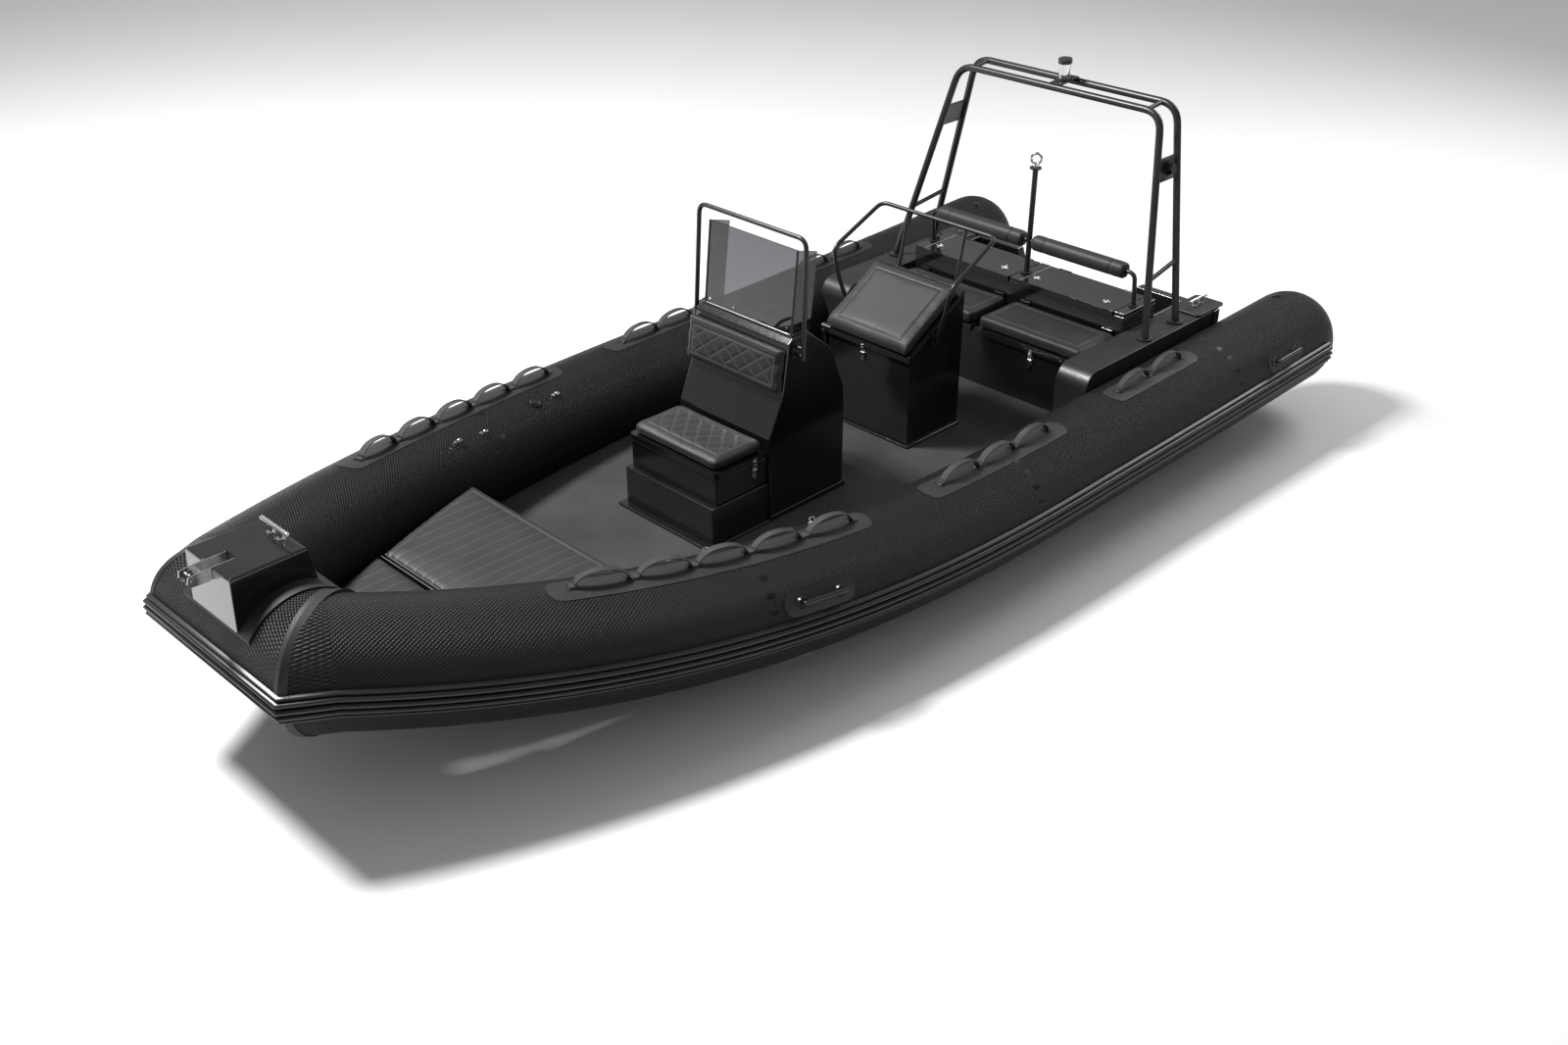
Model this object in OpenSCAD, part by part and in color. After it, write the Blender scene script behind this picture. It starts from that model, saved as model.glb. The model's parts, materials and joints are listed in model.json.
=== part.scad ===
// Rigid inflatable boat. Bow to -Y, port to +X, up +Z. Z = 0 is the waterline. Millimetres.

/* [Collar] */
// radius of the inflated tubes
tube_r = 255; // [220:1:280]
// half beam between the tube centres, amidships
beam_x = 1074; // [950:1:1150]
// centre of the bow corner, across
bow_x = 317; // [280:1:360]
// centre of the bow tube, along
bow_y = -2413; // [-2500:1:-2300]
// last full ring of the tubes before the end cone
stern_y = 3130; // [2950:5:3250]
// length of the end cone
cone = 215; // [120:5:300]
// height of the tube centre amidships
tube_z = 356; // [330:1:390]
// how far the bow tube stands above that
sheer = 252; // [150:1:300]

/* [Hull] */
// depth of the keel under the waterline
draft = 260; // [220:5:340]
// top of the cockpit deck
deck_z = 235; // [200:1:260]
// front face of the transom
transom_y = 2660; // [2600:5:2720]
// thickness of the transom
transom_t = 60; // [45:1:70]
// top of the engine cut-out
cutout_z = 300; // [260:5:380]

/* [Seats and console] */
// half width of the console
console_x = 298; // [260:1:330]
// top of the forward seat cushion
fseat_z = 650; // [600:1:680]
// half width of the helm seat
helm_x = 272; // [250:1:300]
// top of the aft bench cushions
bench_z = 620; // [580:1:640]
// front of the aft bench
bench_y = 1740; // [1700:5:1800]
// front of the aft ledge
ledge_y = 2088; // [2060:1:2110]
// back of the aft ledge
ledge_y2 = 2378; // [2350:1:2400]
// top of the aft ledge
ledge_z = 733; // [700:1:760]
// top of the side decks
side_z = 640; // [600:1:660]

/* [Pipework] */
// radius of the arch pipes
arch_r = 19; // [16:0.5:22]
// radius of the handrail pipes
rail_r = 11; // [9:0.5:14]
// running gap round moving lids
gap = 5.5; // [5:0.5:8]

/* [Hidden] */
$fn = 48;
black = [0.05, 0.05, 0.055];
grey = [0.2, 0.2, 0.21];
steel = [0.75, 0.75, 0.76];

// tube centre line: distance off the centreline and height, for a station along the boat
function xc(y) = y < 1100 ? beam_x - (beam_x - bow_x) * pow((1100 - y) / (1100 - bow_y), 2.7)
  : beam_x + 0.0135 * (y - 1100);
function zc(y) = y < 600 ? tube_z + sheer * pow((600 - y) / (600 - bow_y), 2.4)
  : tube_z + 52 * pow((y - 600) / 2573, 1.5);
// how much wider the slanting tube is when it is cut square across the boat
function wide(y) = sqrt(1 + pow((xc(y + 5) - xc(y - 5)) / 10, 2));
// inner face of the tube at a height, with a gap g
function inx(y, z, g = 3) = xc(y) - wide(y) * sqrt(max(0, pow(tube_r + g, 2) - pow(zc(y) - z, 2)));

function unit(v) = v / norm(v);
function tang(P, i) = i == 0 ? unit(P[1] - P[0]) : i == len(P) - 1 ? unit(P[i] - P[i - 1])
  : unit(unit(P[i + 1] - P[i]) + unit(P[i] - P[i - 1]));
function ring(r, n, ry = 0) = [for (k = [0:n - 1]) [r * cos(360 * k / n), -(ry > 0 ? ry : r) * sin(360 * k / n)]];
// rounds every corner of a path to a bend of size b
function bent(P, b, k = 6) = [for (i = [0:len(P) - 1])
  if (i == 0 || i == len(P) - 1) P[i]
  else let (a = P[i] + unit(P[i - 1] - P[i]) * b, c = P[i] + unit(P[i + 1] - P[i]) * b)
    for (j = [0:k]) let (t = j / k) a * pow(1 - t, 2) + P[i] * 2 * t * (1 - t) + c * t * t];
function arc2(cx, cy, r, a0, a1, n = 8) = [for (i = [0:n]) let (a = a0 + (a1 - a0) * i / n)
  [cx + r * cos(a), cy + r * sin(a)]];

// joins rings of equal length into one closed skin
module skin(R) {
  m = len(R[0]);
  n = len(R);
  polyhedron(points = [for (q = R) each q],
    faces = concat([[for (k = [0:m - 1]) k]], [[for (k = [0:m - 1]) (n - 1) * m + m - 1 - k]],
      [for (i = [0:n - 2]) for (k = [0:m - 1]) let (a = i * m + k, b = i * m + (k + 1) % m)
        each [[a, a + m, b], [b, a + m, b + m]]]), convexity = 8);
}
module sweep(P, prof, ref = [0, 0, 1]) {
  skin([for (i = [0:len(P) - 1]) let (t = tang(P, i), s = unit(cross(t, ref)), u = cross(s, t))
    [for (q = prof) P[i] + q[0] * s + q[1] * u]]);
}
module pipe(P, r, b = 60, ref = [0, 0, 1], n = 16) { sweep(bent(P, b), ring(r, n), ref); }
module rod(a, c, r) {
  d = c - a;
  translate(a) rotate([0, acos(d[2] / norm(d)), atan2(d[1], d[0])]) cylinder(h = norm(d), r = r);
}
module both() { children(); mirror([1, 0, 0]) children(); }
// extrudes a side profile, given as [y, z], across the boat from x0 to x1
module across(x0, x1, P) {
  translate([x0, 0, 0]) rotate([90, 0, 90]) linear_extrude(x1 - x0) polygon(P);
}
module block(x0, x1, y0, y1, z0, z1) { translate([x0, y0, z0]) cube([x1 - x0, y1 - y0, z1 - z0]); }
// a plate with rounded corners in plan
module plate(x0, x1, y0, y1, z0, z1, r) {
  translate([0, 0, z0]) linear_extrude(z1 - z0) union() {
    translate([x0 + r, y0]) square([x1 - x0 - 2 * r, y1 - y0]);
    translate([x0, y0 + r]) square([x1 - x0, y1 - y0 - 2 * r]);
    for (x = [x0 + r, x1 - r], y = [y0 + r, y1 - r]) translate([x, y]) circle(r);
  }
}
// stations of the collar from the bow corner to the stern
stations = [bow_y, -2330, -2230, -2120, -2000, -1870, -1730, -1580, -1420, -1250, -1070, -880,
  -680, -460, -200, 100, 450, 850, 1300, 1800, 2400, stern_y];
turn = atan((xc(bow_y + 60) - xc(bow_y)) / 60);
mitre = (90 - turn) / 2;
lean = (90 + turn) / 2;

// rings round the centre line, moved out by a radius r; sgn is the side of the boat
module collar_side(r, gap0 = 0.3) {
  P = [for (y = stations) [xc(y), y, zc(y)]];
  Q = ring(r, 28);
  dir = [cos(lean), -sin(lean), 0];
  R = [for (i = [0:len(P) - 1]) let (t = tang(P, i), s = unit(cross(t, [0, 0, 1])))
    [for (q = Q) i == 0 ? P[0] + [gap0, gap0, 0] + q[0] * dir / cos(mitre) + [0, 0, q[1]]
      : P[i] + q[0] * s + [0, 0, q[1]]]];
  end = P[len(P) - 1];
  T = [for (a = [18, 36, 54, 70, 82]) let (k = cos(a), d = cone * sin(a))
    [for (q = Q) [end[0] + q[0] * k, end[1] + d, end[2] + 6 * sin(a) + q[1] * k]]];
  // the collar is welded up from panels, with a hairline between them
  cuts = [0, 5, 8, 11, 14, 16, 18, 20, len(P) - 1];
  for (k = [0:len(cuts) - 2])
    skin(concat([for (i = [cuts[k]:cuts[k + 1]]) i == cuts[k] && k > 0 ? [for (p = R[i]) p + 0.3 * tang(P, i)] : R[i]],
      k == len(cuts) - 2 ? T : []));
}
module tube_cut(g = 2) {
  P = [for (y = [for (s = stations) if (s > -2200) s]) [xc(y), y, zc(y)]];
  sweep(P, ring(tube_r + g, 40));
}

module hull() {
  L = 1390;
  ys = [-2290, -2200, -2080, -1940, -1780, -1600, -1400, -1200, -1101, -1099, -900, -600, -200,
    400, 1200, 2000, transom_y - 0.3];
  function zk(y) = y < -900 ? -draft + (draft + 330) * pow((-900 - y) / L, 2.2) : -draft + 10 * (y > 0 ? y / 2660 : 0);
  function zt(y) = y > -1100 ? deck_z - 19 : y < -2150 ? 405 - (-2150 - y) * 0.22 : min(405, zc(y) - 142);
  function xch(y) = (xc(y) - 130) * (y < -900 ? 1 - 0.8 * pow((-900 - y) / L, 1.6) : 1);
  color(black) difference() {
    skin([for (y = ys) let (k = zk(y), t = zt(y), zh = max(zc(y) - 285, k + (t - k) * 0.5),
        xt = y < -2150 ? inx(-2150, 405) * (y < -2200 ? 0.55 : 0.85) : inx(y, t), xh = xch(y))
      [[0, y, k], [-xh, y, zh], [-xt, y, t], [xt, y, t], [xh, y, zh]]]);
    translate([0, 0, deck_z + 1]) linear_extrude(400)
      polygon([for (y = [-1098.5, -1300, -1500, -1722]) [-inx(y, 430) + 38, y],
        for (y = [-1722, -1500, -1300, -1098.5]) [inx(y, 430) - 38, y]]);
  }
}
module deck() {
  ys = [-1097, -900, -700, -450, -150, 200, 700, 1300, 2000, transom_y - 1];
  color(grey) translate([0, 0, deck_z - 18]) linear_extrude(18)
    polygon([for (y = ys) [-inx(y, deck_z), y], for (i = [len(ys) - 1:-1:0]) [inx(ys[i], deck_z), ys[i]]]);
}
module transom() {
  zs = side_z - 2;
  color(black) difference() {
    translate([0, transom_y + transom_t, 0]) rotate([90, 0, 0]) linear_extrude(transom_t)
      polygon([[0, -250], [960, 100], [900, 200], [900, zs], [410, zs], [290, cutout_z], [-290, cutout_z],
        [-410, zs], [-900, zs], [-900, 200], [-960, 100]]);
    both() tube_cut();
  }
}
module engine_well() {
  color(black) {
    block(-705, 705, ledge_y2 + 1, transom_y - 1, cutout_z - 18, cutout_z);
    for (x = [-705, 689]) block(x, x + 16, ledge_y2 + 1, transom_y - 1, cutout_z + 0.2, side_z - 2);
  }
}
module port_tube() { color(black) collar_side(tube_r); }
module starboard_tube() { color(black) mirror([1, 0, 0]) collar_side(tube_r); }
module bow_tube() {
  Q = ring(tube_r, 28);
  dir = [cos(lean), -sin(lean), 0];
  color(black) skin([for (s = [-1, 1]) [for (q = Q)
    [s * bow_x, bow_y, zc(bow_y)] + [s * q[0] * dir[0], q[0] * dir[1], 0] / cos(mitre) + [0, 0, q[1]]]]);
}
module rubbing_strake() {
  r = tube_r + 1.5;
  prof = [[r, -56], [r + 12, -52], [r + 13, -40], [r + 7, -35], [r + 22, -28], [r + 27, -16], [r + 23, -5],
    [r + 12, 0], [r + 23, 5], [r + 27, 16], [r + 22, 28], [r + 7, 35], [r + 13, 40], [r + 12, 52], [r, 56]];
  dir = [cos(lean), -sin(lean), 0];
  P = [for (i = [len(stations) - 1:-1:1]) let (y = stations[i]) [xc(y), y, zc(y)]];
  S = [for (i = [len(stations) - 1:-1:1]) let (y = stations[i],
      t = unit([xc(y + 5) - xc(y - 5), 10, 0]), s = unit(cross(t, [0, 0, 1])))
    [for (q = prof) [xc(y), y, zc(y)] + q[0] * s + [0, 0, q[1]]]];
  M = [for (q = prof) [bow_x, bow_y, zc(bow_y)] + q[0] * dir / cos(mitre) + [0, 0, q[1]]];
  H = concat(S, [M]);
  color(black) skin(concat(H, [for (i = [len(H) - 1:-1:0]) [for (p = H[i]) [-p[0], p[1], p[2]]]]));
}
// reinforcing saddle that the bow step stands on
module bow_pad() {
  color(grey) intersection() {
    translate([-235, bow_y, zc(bow_y)]) rotate([0, 90, 0]) difference() {
      cylinder(h = 470, r = tube_r + 8, $fn = 96);
      translate([0, 0, -1]) cylinder(h = 472, r = tube_r + 1, $fn = 96);
    }
    block(-235, 235, bow_y - 215, bow_y + 165, zc(bow_y) + 120, zc(bow_y) + 300);
  }
}
module bow_step() {
  z0 = zc(bow_y);
  y0 = bow_y - 208;
  y1 = bow_y + 102;
  color(black) difference() {
    skin([
      for (q = [[z0 + 150, 160, 8, 40], [z0 + 358, 158, 0, 4], [z0 + 370, 152, -6, -4]])
        [[q[1], y0 - q[2], q[0]], [q[1] - 6, y1 + q[3], q[0]], [-q[1] + 6, y1 + q[3], q[0]], [-q[1], y0 - q[2], q[0]]]]);
    translate([-160, bow_y, z0]) rotate([0, 90, 0]) cylinder(h = 320, r = tube_r + 9, $fn = 96);
    block(-36, 36, y0 - 20, y0 + 96, z0 + 322, z0 + 380);
  }
}
module roller_bracket() {
  z0 = zc(bow_y);
  y0 = bow_y - 208;
  color(steel) {
    block(-34.5, 34.5, y0 - 10, y0 + 94, z0 + 323, z0 + 327);
    for (x = [-34.5, 30.5]) difference() {
      across(x, x + 4, [[y0 - 96, z0 + 340], [y0 - 84, z0 + 322], [y0 - 10, z0 + 318], [y0 - 10, z0 + 327.2],
        [y0 + 94, z0 + 327.2], [y0 + 94, z0 + 369], [y0 - 40, z0 + 369], [y0 - 90, z0 + 364]]);
    }
    translate([-38, y0 - 72, z0 + 344]) rotate([0, 90, 0]) cylinder(h = 3.5, r = 9);
    translate([34.5, y0 - 72, z0 + 344]) rotate([0, 90, 0]) cylinder(h = 3.5, r = 9);
    translate([-30.5, y0 - 72, z0 + 344]) rotate([0, 90, 0]) cylinder(h = 61, r = 5);
  }
}
module bow_roller() {
  z0 = zc(bow_y);
  color(black) translate([0, bow_y - 280, z0 + 344]) rotate([0, 90, 0]) rotate_extrude()
    polygon([[5.4, -25], [24, -25], [25, -20], [20, -14], [16, 0], [20, 14], [25, 20], [24, 25], [5.4, 25]]);
}
module bow_cleat() {
  z0 = zc(bow_y) + 370;
  y = bow_y + 68;
  color(steel) {
    for (x = [-34, 34]) translate([x, y, z0]) cylinder(h = 34, r = 9);
    for (x = [-34, 34]) translate([x, y, z0 + 0.1]) cylinder(h = 5, r = 17);
    translate([-88, y, z0 + 40]) rotate([0, 90, 0]) cylinder(h = 176, r = 9);
    for (x = [-88, 88]) translate([x, y, z0 + 40]) sphere(r = 9);
  }
}
// a webbing grip standing on the tube at station y
module grip(y, len = 225, h = 52) {
  t = unit([xc(y + 50) - xc(y - 50), 100, zc(y + 50) - zc(y - 50)]);
  o = [xc(y), y, zc(y) + tube_r];
  sweep([for (a = [-1:0.2:1]) o + t * (len / 2) * a + [0, 0, 8 + h * pow(1 - a * a, 0.6)]], ring(15, 10, 5));
  for (s = [-1, 1]) translate(o + t * (len / 2 + 2) * s) rotate([0, 0, -atan2(t[0], t[1])])
    rotate([asin(t[2]), 0, 0]) translate([-22, -24, 1.6]) cube([44, 48, 5]);
}
grips = [-1453, -1205, -960, -709, -445, 321, 570, 820, 1629, 1909];
module port_grab_handles() { color(black) for (y = grips) grip(y); }
module starboard_grab_handles() { mirror([1, 0, 0]) port_grab_handles(); }
module carry_handles() {
  color(black) both() for (y = [-655, 2700]) {
    a = 26;
    translate([xc(y), y, zc(y)]) rotate([atan((zc(y + 5) - zc(y - 5)) / 10), 0, -atan((xc(y + 5) - xc(y - 5)) / 10)])
      rotate([0, -a, 0]) translate([tube_r + 1.2, 0, 0]) {
      for (s = [-1, 1]) translate([0, 95 * s, 0]) rotate([0, 90, 0]) cylinder(h = 10, r1 = 27, r2 = 22);
      for (s = [-1, 1]) translate([9, 95 * s, 0]) rotate([0, 90, 0]) cylinder(h = 22, r = 9);
      translate([30, -100, 0]) rotate([-90, 0, 0]) cylinder(h = 200, r = 10);
      for (s = [-1, 1]) translate([30, 100 * s, 0]) sphere(r = 10);
    }
  }
}

// bow locker and its cushions
function hb(y, m) = inx(y, 450) - m;
function plan(ys, m) = [for (y = ys) [-hb(y, m), y], for (i = [len(ys) - 1:-1:0]) [hb(ys[i], m), ys[i]]];
lk = [-1101, -1250, -1400, -1550, -1740, -1930, -2090];
module bow_locker() {
  color(black) {
    difference() {
      translate([0, 0, 409]) linear_extrude(16) polygon(plan(lk, 8));
      translate([0, 0, 400]) linear_extrude(40) polygon(plan([-1150, -1300, -1500, -1690], 75));
    }
    difference() {
      translate([0, 0, deck_z + 2]) linear_extrude(409 - deck_z - 2.2) polygon(plan([-1101, -1300, -1500, -1718], 46));
      translate([0, 0, deck_z]) linear_extrude(200) polygon(plan([-1119, -1300, -1500, -1700], 64));
    }
    difference() {
      block(-582, 582, -1119, -1101, 286, 408.8);
      block(-hb(-1110, 44.5), hb(-1110, 44.5), -1130, -1090, deck_z - 5, 420);
    }
  }
}
module bow_locker_lid() {
  color(black) translate([0, 0, 425 + gap]) linear_extrude(10) polygon(plan([-1106, -1250, -1400, -1550, -1735], 19));
}
module bow_cushion() {
  color(grey) translate([0, 0, 435.3 + gap]) linear_extrude(52) polygon(plan([-1108, -1250, -1400, -1550, -1733], 20));
}
module forward_cushion() {
  color(grey) translate([0, 0, 425.3]) linear_extrude(67) polygon(plan([-1747, -1860, -1980, -2085], 10));
}

// console
module console_body() {
  color(black) {
    across(-console_x, console_x, [[-95, deck_z + 0.3], [400, deck_z + 0.3], [400, 640], [392, 760], [300, 985],
      [150, 1108], [50, 1104], [20, 1078], [-12, 850], [-93, 664], [-95, 640]]);
    translate([wheel_c[0], 346, 871.5]) rotate([-wheel_tilt, 0, 0]) cylinder(h = 13, r = 46);
    across(-console_x - 14, -console_x - 0.2, [[-95, deck_z + 0.3], [408, deck_z + 0.3], [408, 262], [-95, 262]]);
    across(console_x + 0.2, console_x + 14, [[-95, deck_z + 0.3], [408, deck_z + 0.3], [408, 262], [-95, 262]]);
  }
}
module console_pad() {
  color(grey) translate([0, -13.3, 852]) rotate([-8.2, 0, 0]) translate([-302, -44, 0]) cube([604, 44, 216]);
}
module windscreen() {
  color([0.1, 0.1, 0.12, 0.5]) {
    across(-272, 272, [[60, 1109], [98, 1495], [104, 1495], [66, 1109]]);
    both() across(272, 278, [[60, 1109], [98, 1495], [218, 1462], [178, 1109]]);
  }
}
module console_rail() {
  color(black) {
    pipe([[348, 66, 1010], [335, 89, 1561], [-335, 89, 1561], [-348, 66, 1010]], rail_r, 48, [0, 1, 0]);
    both() for (z = [1025, 1062]) translate([console_x + 0.2, 68, z]) rotate([0, 90, 0])
      cylinder(h = 348 - rail_r - console_x - 1, r = 9);
    both() translate([console_x + 0.1, 42, 1010]) cube([4, 52, 68]);
  }
}
wheel_c = [-95, 411, 898];
wheel_tilt = 67.8;
module steering_wheel() {
  color(black) translate(wheel_c) rotate([-wheel_tilt, 0, 0]) {
    rotate_extrude() translate([160, 0]) circle(r = 14);
    cylinder(h = 26, r = 38, center = true);
    for (a = [90, 210, 330]) rotate([0, 0, a]) translate([30, -14, -5]) cube([124, 28, 8]);
    translate([0, 0, -55]) cylinder(h = 45, r = 16);
  }
}
module throttle() {
  color(black) {
    translate([150, 346, 872]) rotate([22.2, 0, 0]) translate([-45, 0.5, -60]) cube([90, 50, 120]);
    translate([186, 385, 900]) rotate([10, 0, 0]) cylinder(h = 120, r = 8);
    translate([160, 392, 1022]) rotate([0, 90, 0]) cylinder(h = 52, r = 15);
  }
}

// forward seat in front of the console
module front_seat_box() {
  color(black) {
    difference() {
      block(-284, 284, -415, -97, 432, 563);
      block(-268, 268, -399, -113, 400, 600);
    }
    difference() {
      block(-294, 294, -450, -97, deck_z + 14.2, 431.8);
      block(-268, 268, -399, -113, deck_z + 30, 500);
    }
    block(-312, 312, -492, -97, deck_z + 0.3, deck_z + 14);
  }
}
module front_seat_lid() {
  color(black) difference() {
    plate(-290, 290, -422, -104, 563 + gap, 592 + gap, 18);
    block(-270, 270, -402, -124, 540, 582 + gap);
  }
  color(steel) translate([-290, -263, 574]) rotate([90, 0, 0]) cylinder(h = 200, r = 5, center = true);
}
module front_seat_cushion() {
  color(grey) plate(-286, 286, -418, -106, 592.3 + gap, fseat_z, 40);
}

// helm seat: side profile slopes up to the back, rounded over the front
hp0 = [905, 735];
hp1 = [1296, 960];
module helm_seat_box() {
  P = [[905, deck_z + 0.3], [1300, deck_z + 0.3], [1300, 955], [905, 727]];
  color(black) {
    difference() {
      across(-helm_x, helm_x, P);
      across(-helm_x + 15, helm_x - 15, [[921, deck_z + 20], [1284, deck_z + 20], [1284, 1000], [921, 800]]);
    }
    block(-helm_x - 14, helm_x + 14, 890, 904.7, deck_z + 0.3, deck_z + 14);
    both() block(helm_x + 0.2, helm_x + 14, 890, 1300, deck_z + 0.3, deck_z + 14);
  }
}
function slope(P, d) = [for (p = P) p + d * [-0.5, 0.866]];
module helm_seat_lid() {
  a = slope([[905, 727], [1300, 955]], gap + 0.5);
  b = slope([[905, 727], [1300, 955]], gap + 14);
  color(black) across(-helm_x - 4, helm_x + 4, [a[0] + [-12, -32], a[0] + [-2, -34], a[0] + [-3, -1], a[1], b[1], b[0], b[0] + [-12, -12]]);
  color(steel) translate([-200, 1300, 966.5]) rotate([0, 90, 0]) cylinder(h = 400, r = 6);
}
module helm_seat_cushion() {
  b = slope([[905, 727], [1300, 955]], gap + 14.3);
  c = slope([[905, 727], [1300, 955]], gap + 66);
  color(grey) across(-helm_x + 2, helm_x - 2, concat([b[0] + [2, 1], b[1] - [20, 11.5]], [c[1] - [20, 11.5] + [-4, 0]],
    arc2(c[0][0] + 45, c[0][1] - 34, 52, 112, 200, 7)));
}
module helm_rail() {
  color(black) {
    pipe([[292, 1072, 770], [352, 1052, 940], [384, 1046, 1078], [370, 1392, 1239], [-370, 1392, 1239],
      [-384, 1046, 1078], [-352, 1052, 940], [-292, 1072, 770]], rail_r, 46, [0, -0.35, 1]);
    both() pipe([[185, 1312, 890], [185, 1322, 930], [185, 1387, 1229]], 9, 20, [1, 0, 0]);
    both() translate([helm_x + 0.2, 1072, 770]) rotate([0, 90, 0]) cylinder(h = 9, r = 26);
    both() translate([185, 1300.3, 890]) rotate([-90, 0, 0]) cylinder(h = 5, r = 24);
  }
}

// aft bench across the boat
bx = 700;
module bench_box() {
  z1 = bench_z - 84;
  color(black) difference() {
    block(-bx, bx, bench_y + 8, ledge_y - 1, deck_z + 0.3, z1);
    for (s = [-1, 1]) block(s > 0 ? 24 : -bx + 16, s > 0 ? bx - 16 : -24, bench_y + 24, ledge_y - 17, deck_z + 16, 700);
  }
}
module bench_lid(s) {
  z1 = bench_z - 84 + gap;
  mirror([s < 0 ? 1 : 0, 0, 0]) color(black) {
    block(12, bx - 4, bench_y - 1, ledge_y - 14, z1, z1 + 14);
    block(12, bx - 4, bench_y - 1, bench_y + 2, z1 - 22, z1 - 0.1);
    block(60, 120, ledge_y - 13.8, ledge_y - 9, z1, bench_z + 6);
    block(bx - 112, bx - 52, ledge_y - 13.8, ledge_y - 9, z1, bench_z + 6);
    for (x = [60, bx - 112]) translate([x, ledge_y - 9, bench_z + 6]) rotate([0, 90, 0]) cylinder(h = 60, r = 3.8);
  }
}
module bench_cushion(s) {
  z1 = bench_z - 84 + gap + 14.3;
  mirror([s < 0 ? 1 : 0, 0, 0]) color(grey) plate(16, bx - 7, bench_y + 1, ledge_y - 16, z1, bench_z, 26);
}
module port_bench_lid() { bench_lid(1); }
module port_bench_cushion() { bench_cushion(1); }
module starboard_bench_lid() { bench_lid(-1); }
module starboard_bench_cushion() { bench_cushion(-1); }

// aft ledge with two lockers under hatches
module aft_ledge() {
  z1 = ledge_z - 16 - gap;
  color(black) {
    difference() {
      block(-706, 706, ledge_y, ledge_y2, deck_z + 0.3, z1);
      for (s = [-1, 1]) block(s > 0 ? 60 : -620, s > 0 ? 620 : -60, ledge_y + 16, ledge_y2 - 16, deck_z + 16, 800);
    }
    block(-36, 36, ledge_y, ledge_y2, z1 + 0.1, ledge_z);
    both() block(643, 706, ledge_y, ledge_y2, z1 + 0.1, ledge_z);
  }
}
module hatch(s) {
  mirror([s < 0 ? 1 : 0, 0, 0]) color(black) {
    block(42, 637, ledge_y - 2, ledge_y2 - 6, ledge_z - 16, ledge_z);
    block(42, 637, ledge_y - 9, ledge_y - 6, ledge_z - 34, ledge_z);
    block(42, 637, ledge_y - 6.1, ledge_y - 2, ledge_z - 16, ledge_z);
    for (x = [90, 510]) translate([x, ledge_y2 - 6, ledge_z]) rotate([0, 90, 0]) cylinder(h = 80, r = 4);
  }
}
module port_hatch() { hatch(1); }
module starboard_hatch() { hatch(-1); }

module side_decks() {
  color(black) both() difference() {
    across(710, 895, concat([[2655, deck_z + 0.3], [2655, side_z], [1600, side_z]],
      arc2(1600, side_z - 90, 90, 90, 180, 10), [[1510, deck_z + 0.3]]));
    tube_cut();
  }
}
module stern_platforms() {
  color(black) both() plate(716, 893, 2520, 2775, side_z + 0.3, side_z + 12, 24);
}
module stern_cleats() {
  color(steel) both() translate([800, 2650, side_z + 12.2]) {
    for (y = [-30, 30]) translate([0, y, 0]) cylinder(h = 30, r = 8);
    for (y = [-30, 30]) translate([0, y, 0]) cylinder(h = 5, r = 15);
    translate([0, -78, 35]) rotate([-90, 0, 0]) cylinder(h = 156, r = 8);
    for (y = [-78, 78]) translate([0, y, 35]) sphere(r = 8);
  }
}
module side_vents() {
  color(steel) both() translate([709.6, 1592, 500]) rotate([0, -90, 0]) difference() {
    cylinder(h = 9, r = 62);
    translate([0, 0, 4]) cylinder(h = 6, r = 52);
  }
}

// backrest rolls on their frame, tow mast, arch
roll_y = 2190;
roll_z = 920;
module backrest_frame() {
  color(black) both() {
    pipe([[15.3, roll_y, roll_z], [676, roll_y, roll_z], [676, roll_y + 22, ledge_z + 6]], 12, 40, [0.3, 1, 0.1]);
    translate([676, roll_y + 22, ledge_z + 0.2]) cylinder(h = 6, r = 26);
  }
}
module backrest_rolls() {
  color(grey) both() translate([29, roll_y, roll_z]) rotate([0, 90, 0]) difference() {
    cylinder(h = 594, r = 45);
    translate([0, 0, -1]) cylinder(h = 596, r = 12.6);
  }
}
module tow_mast() {
  color(black) {
    translate([0, roll_y, ledge_z + 0.2]) cylinder(h = 10, r = 34);
    translate([0, roll_y, ledge_z + 10]) cylinder(h = 575, r = 15);
    translate([0, roll_y, ledge_z + 585]) cylinder(h = 8, r = 32);
    translate([0, roll_y, ledge_z + 593]) cylinder(h = 20, r = 12);
    translate([0, roll_y, ledge_z + 640]) rotate([90, 0, 30]) rotate_extrude() translate([27, 0]) circle(r = 6.5);
  }
}
fa = [[843, 2084, side_z + 8], [637, 2310, 1722]];
ra = [[831, 2387, side_z + 8], [640, 2452, 1735]];
function on(l, z) = l[0] + (l[1] - l[0]) * (z - l[0][2]) / (l[1][2] - l[0][2]);
module arch() {
  color(black) {
    for (l = [fa, ra])
      pipe([l[0], l[1], [-l[1][0], l[1][1], l[1][2]], [-l[0][0], l[0][1], l[0][2]]], arch_r, 95, [0, 1, 0.1], 20);
    both() {
      for (l = [fa, ra]) translate([l[0][0], l[0][1], side_z + 0.3]) cylinder(h = 8, r = 42);
      rod([555, 2312, 1722], [555, 2450, 1735], 12);
      rod(on(fa, 925), on(ra, 965), 12);
      rod(on(fa, 1395), on(ra, 1395), 8);
      rod(on(fa, 1495), on(ra, 1495), 8);
      skin([for (z = [1400, 1490]) let (a = on(fa, z), b = on(ra, z))
        [a + [-3, 8, 0], a + [5, 8, 0], b + [5, -8, 0], b + [-3, -8, 0]]]);
    }
  }
}
module nav_lights() {
  color(black) both() let (a = (on(fa, 1445) + on(ra, 1445)) / 2) translate(a + [7.2, 0, 1])
    rotate([0, 79.1, 0]) cylinder(h = 34, r1 = 34, r2 = 26);
}
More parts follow.
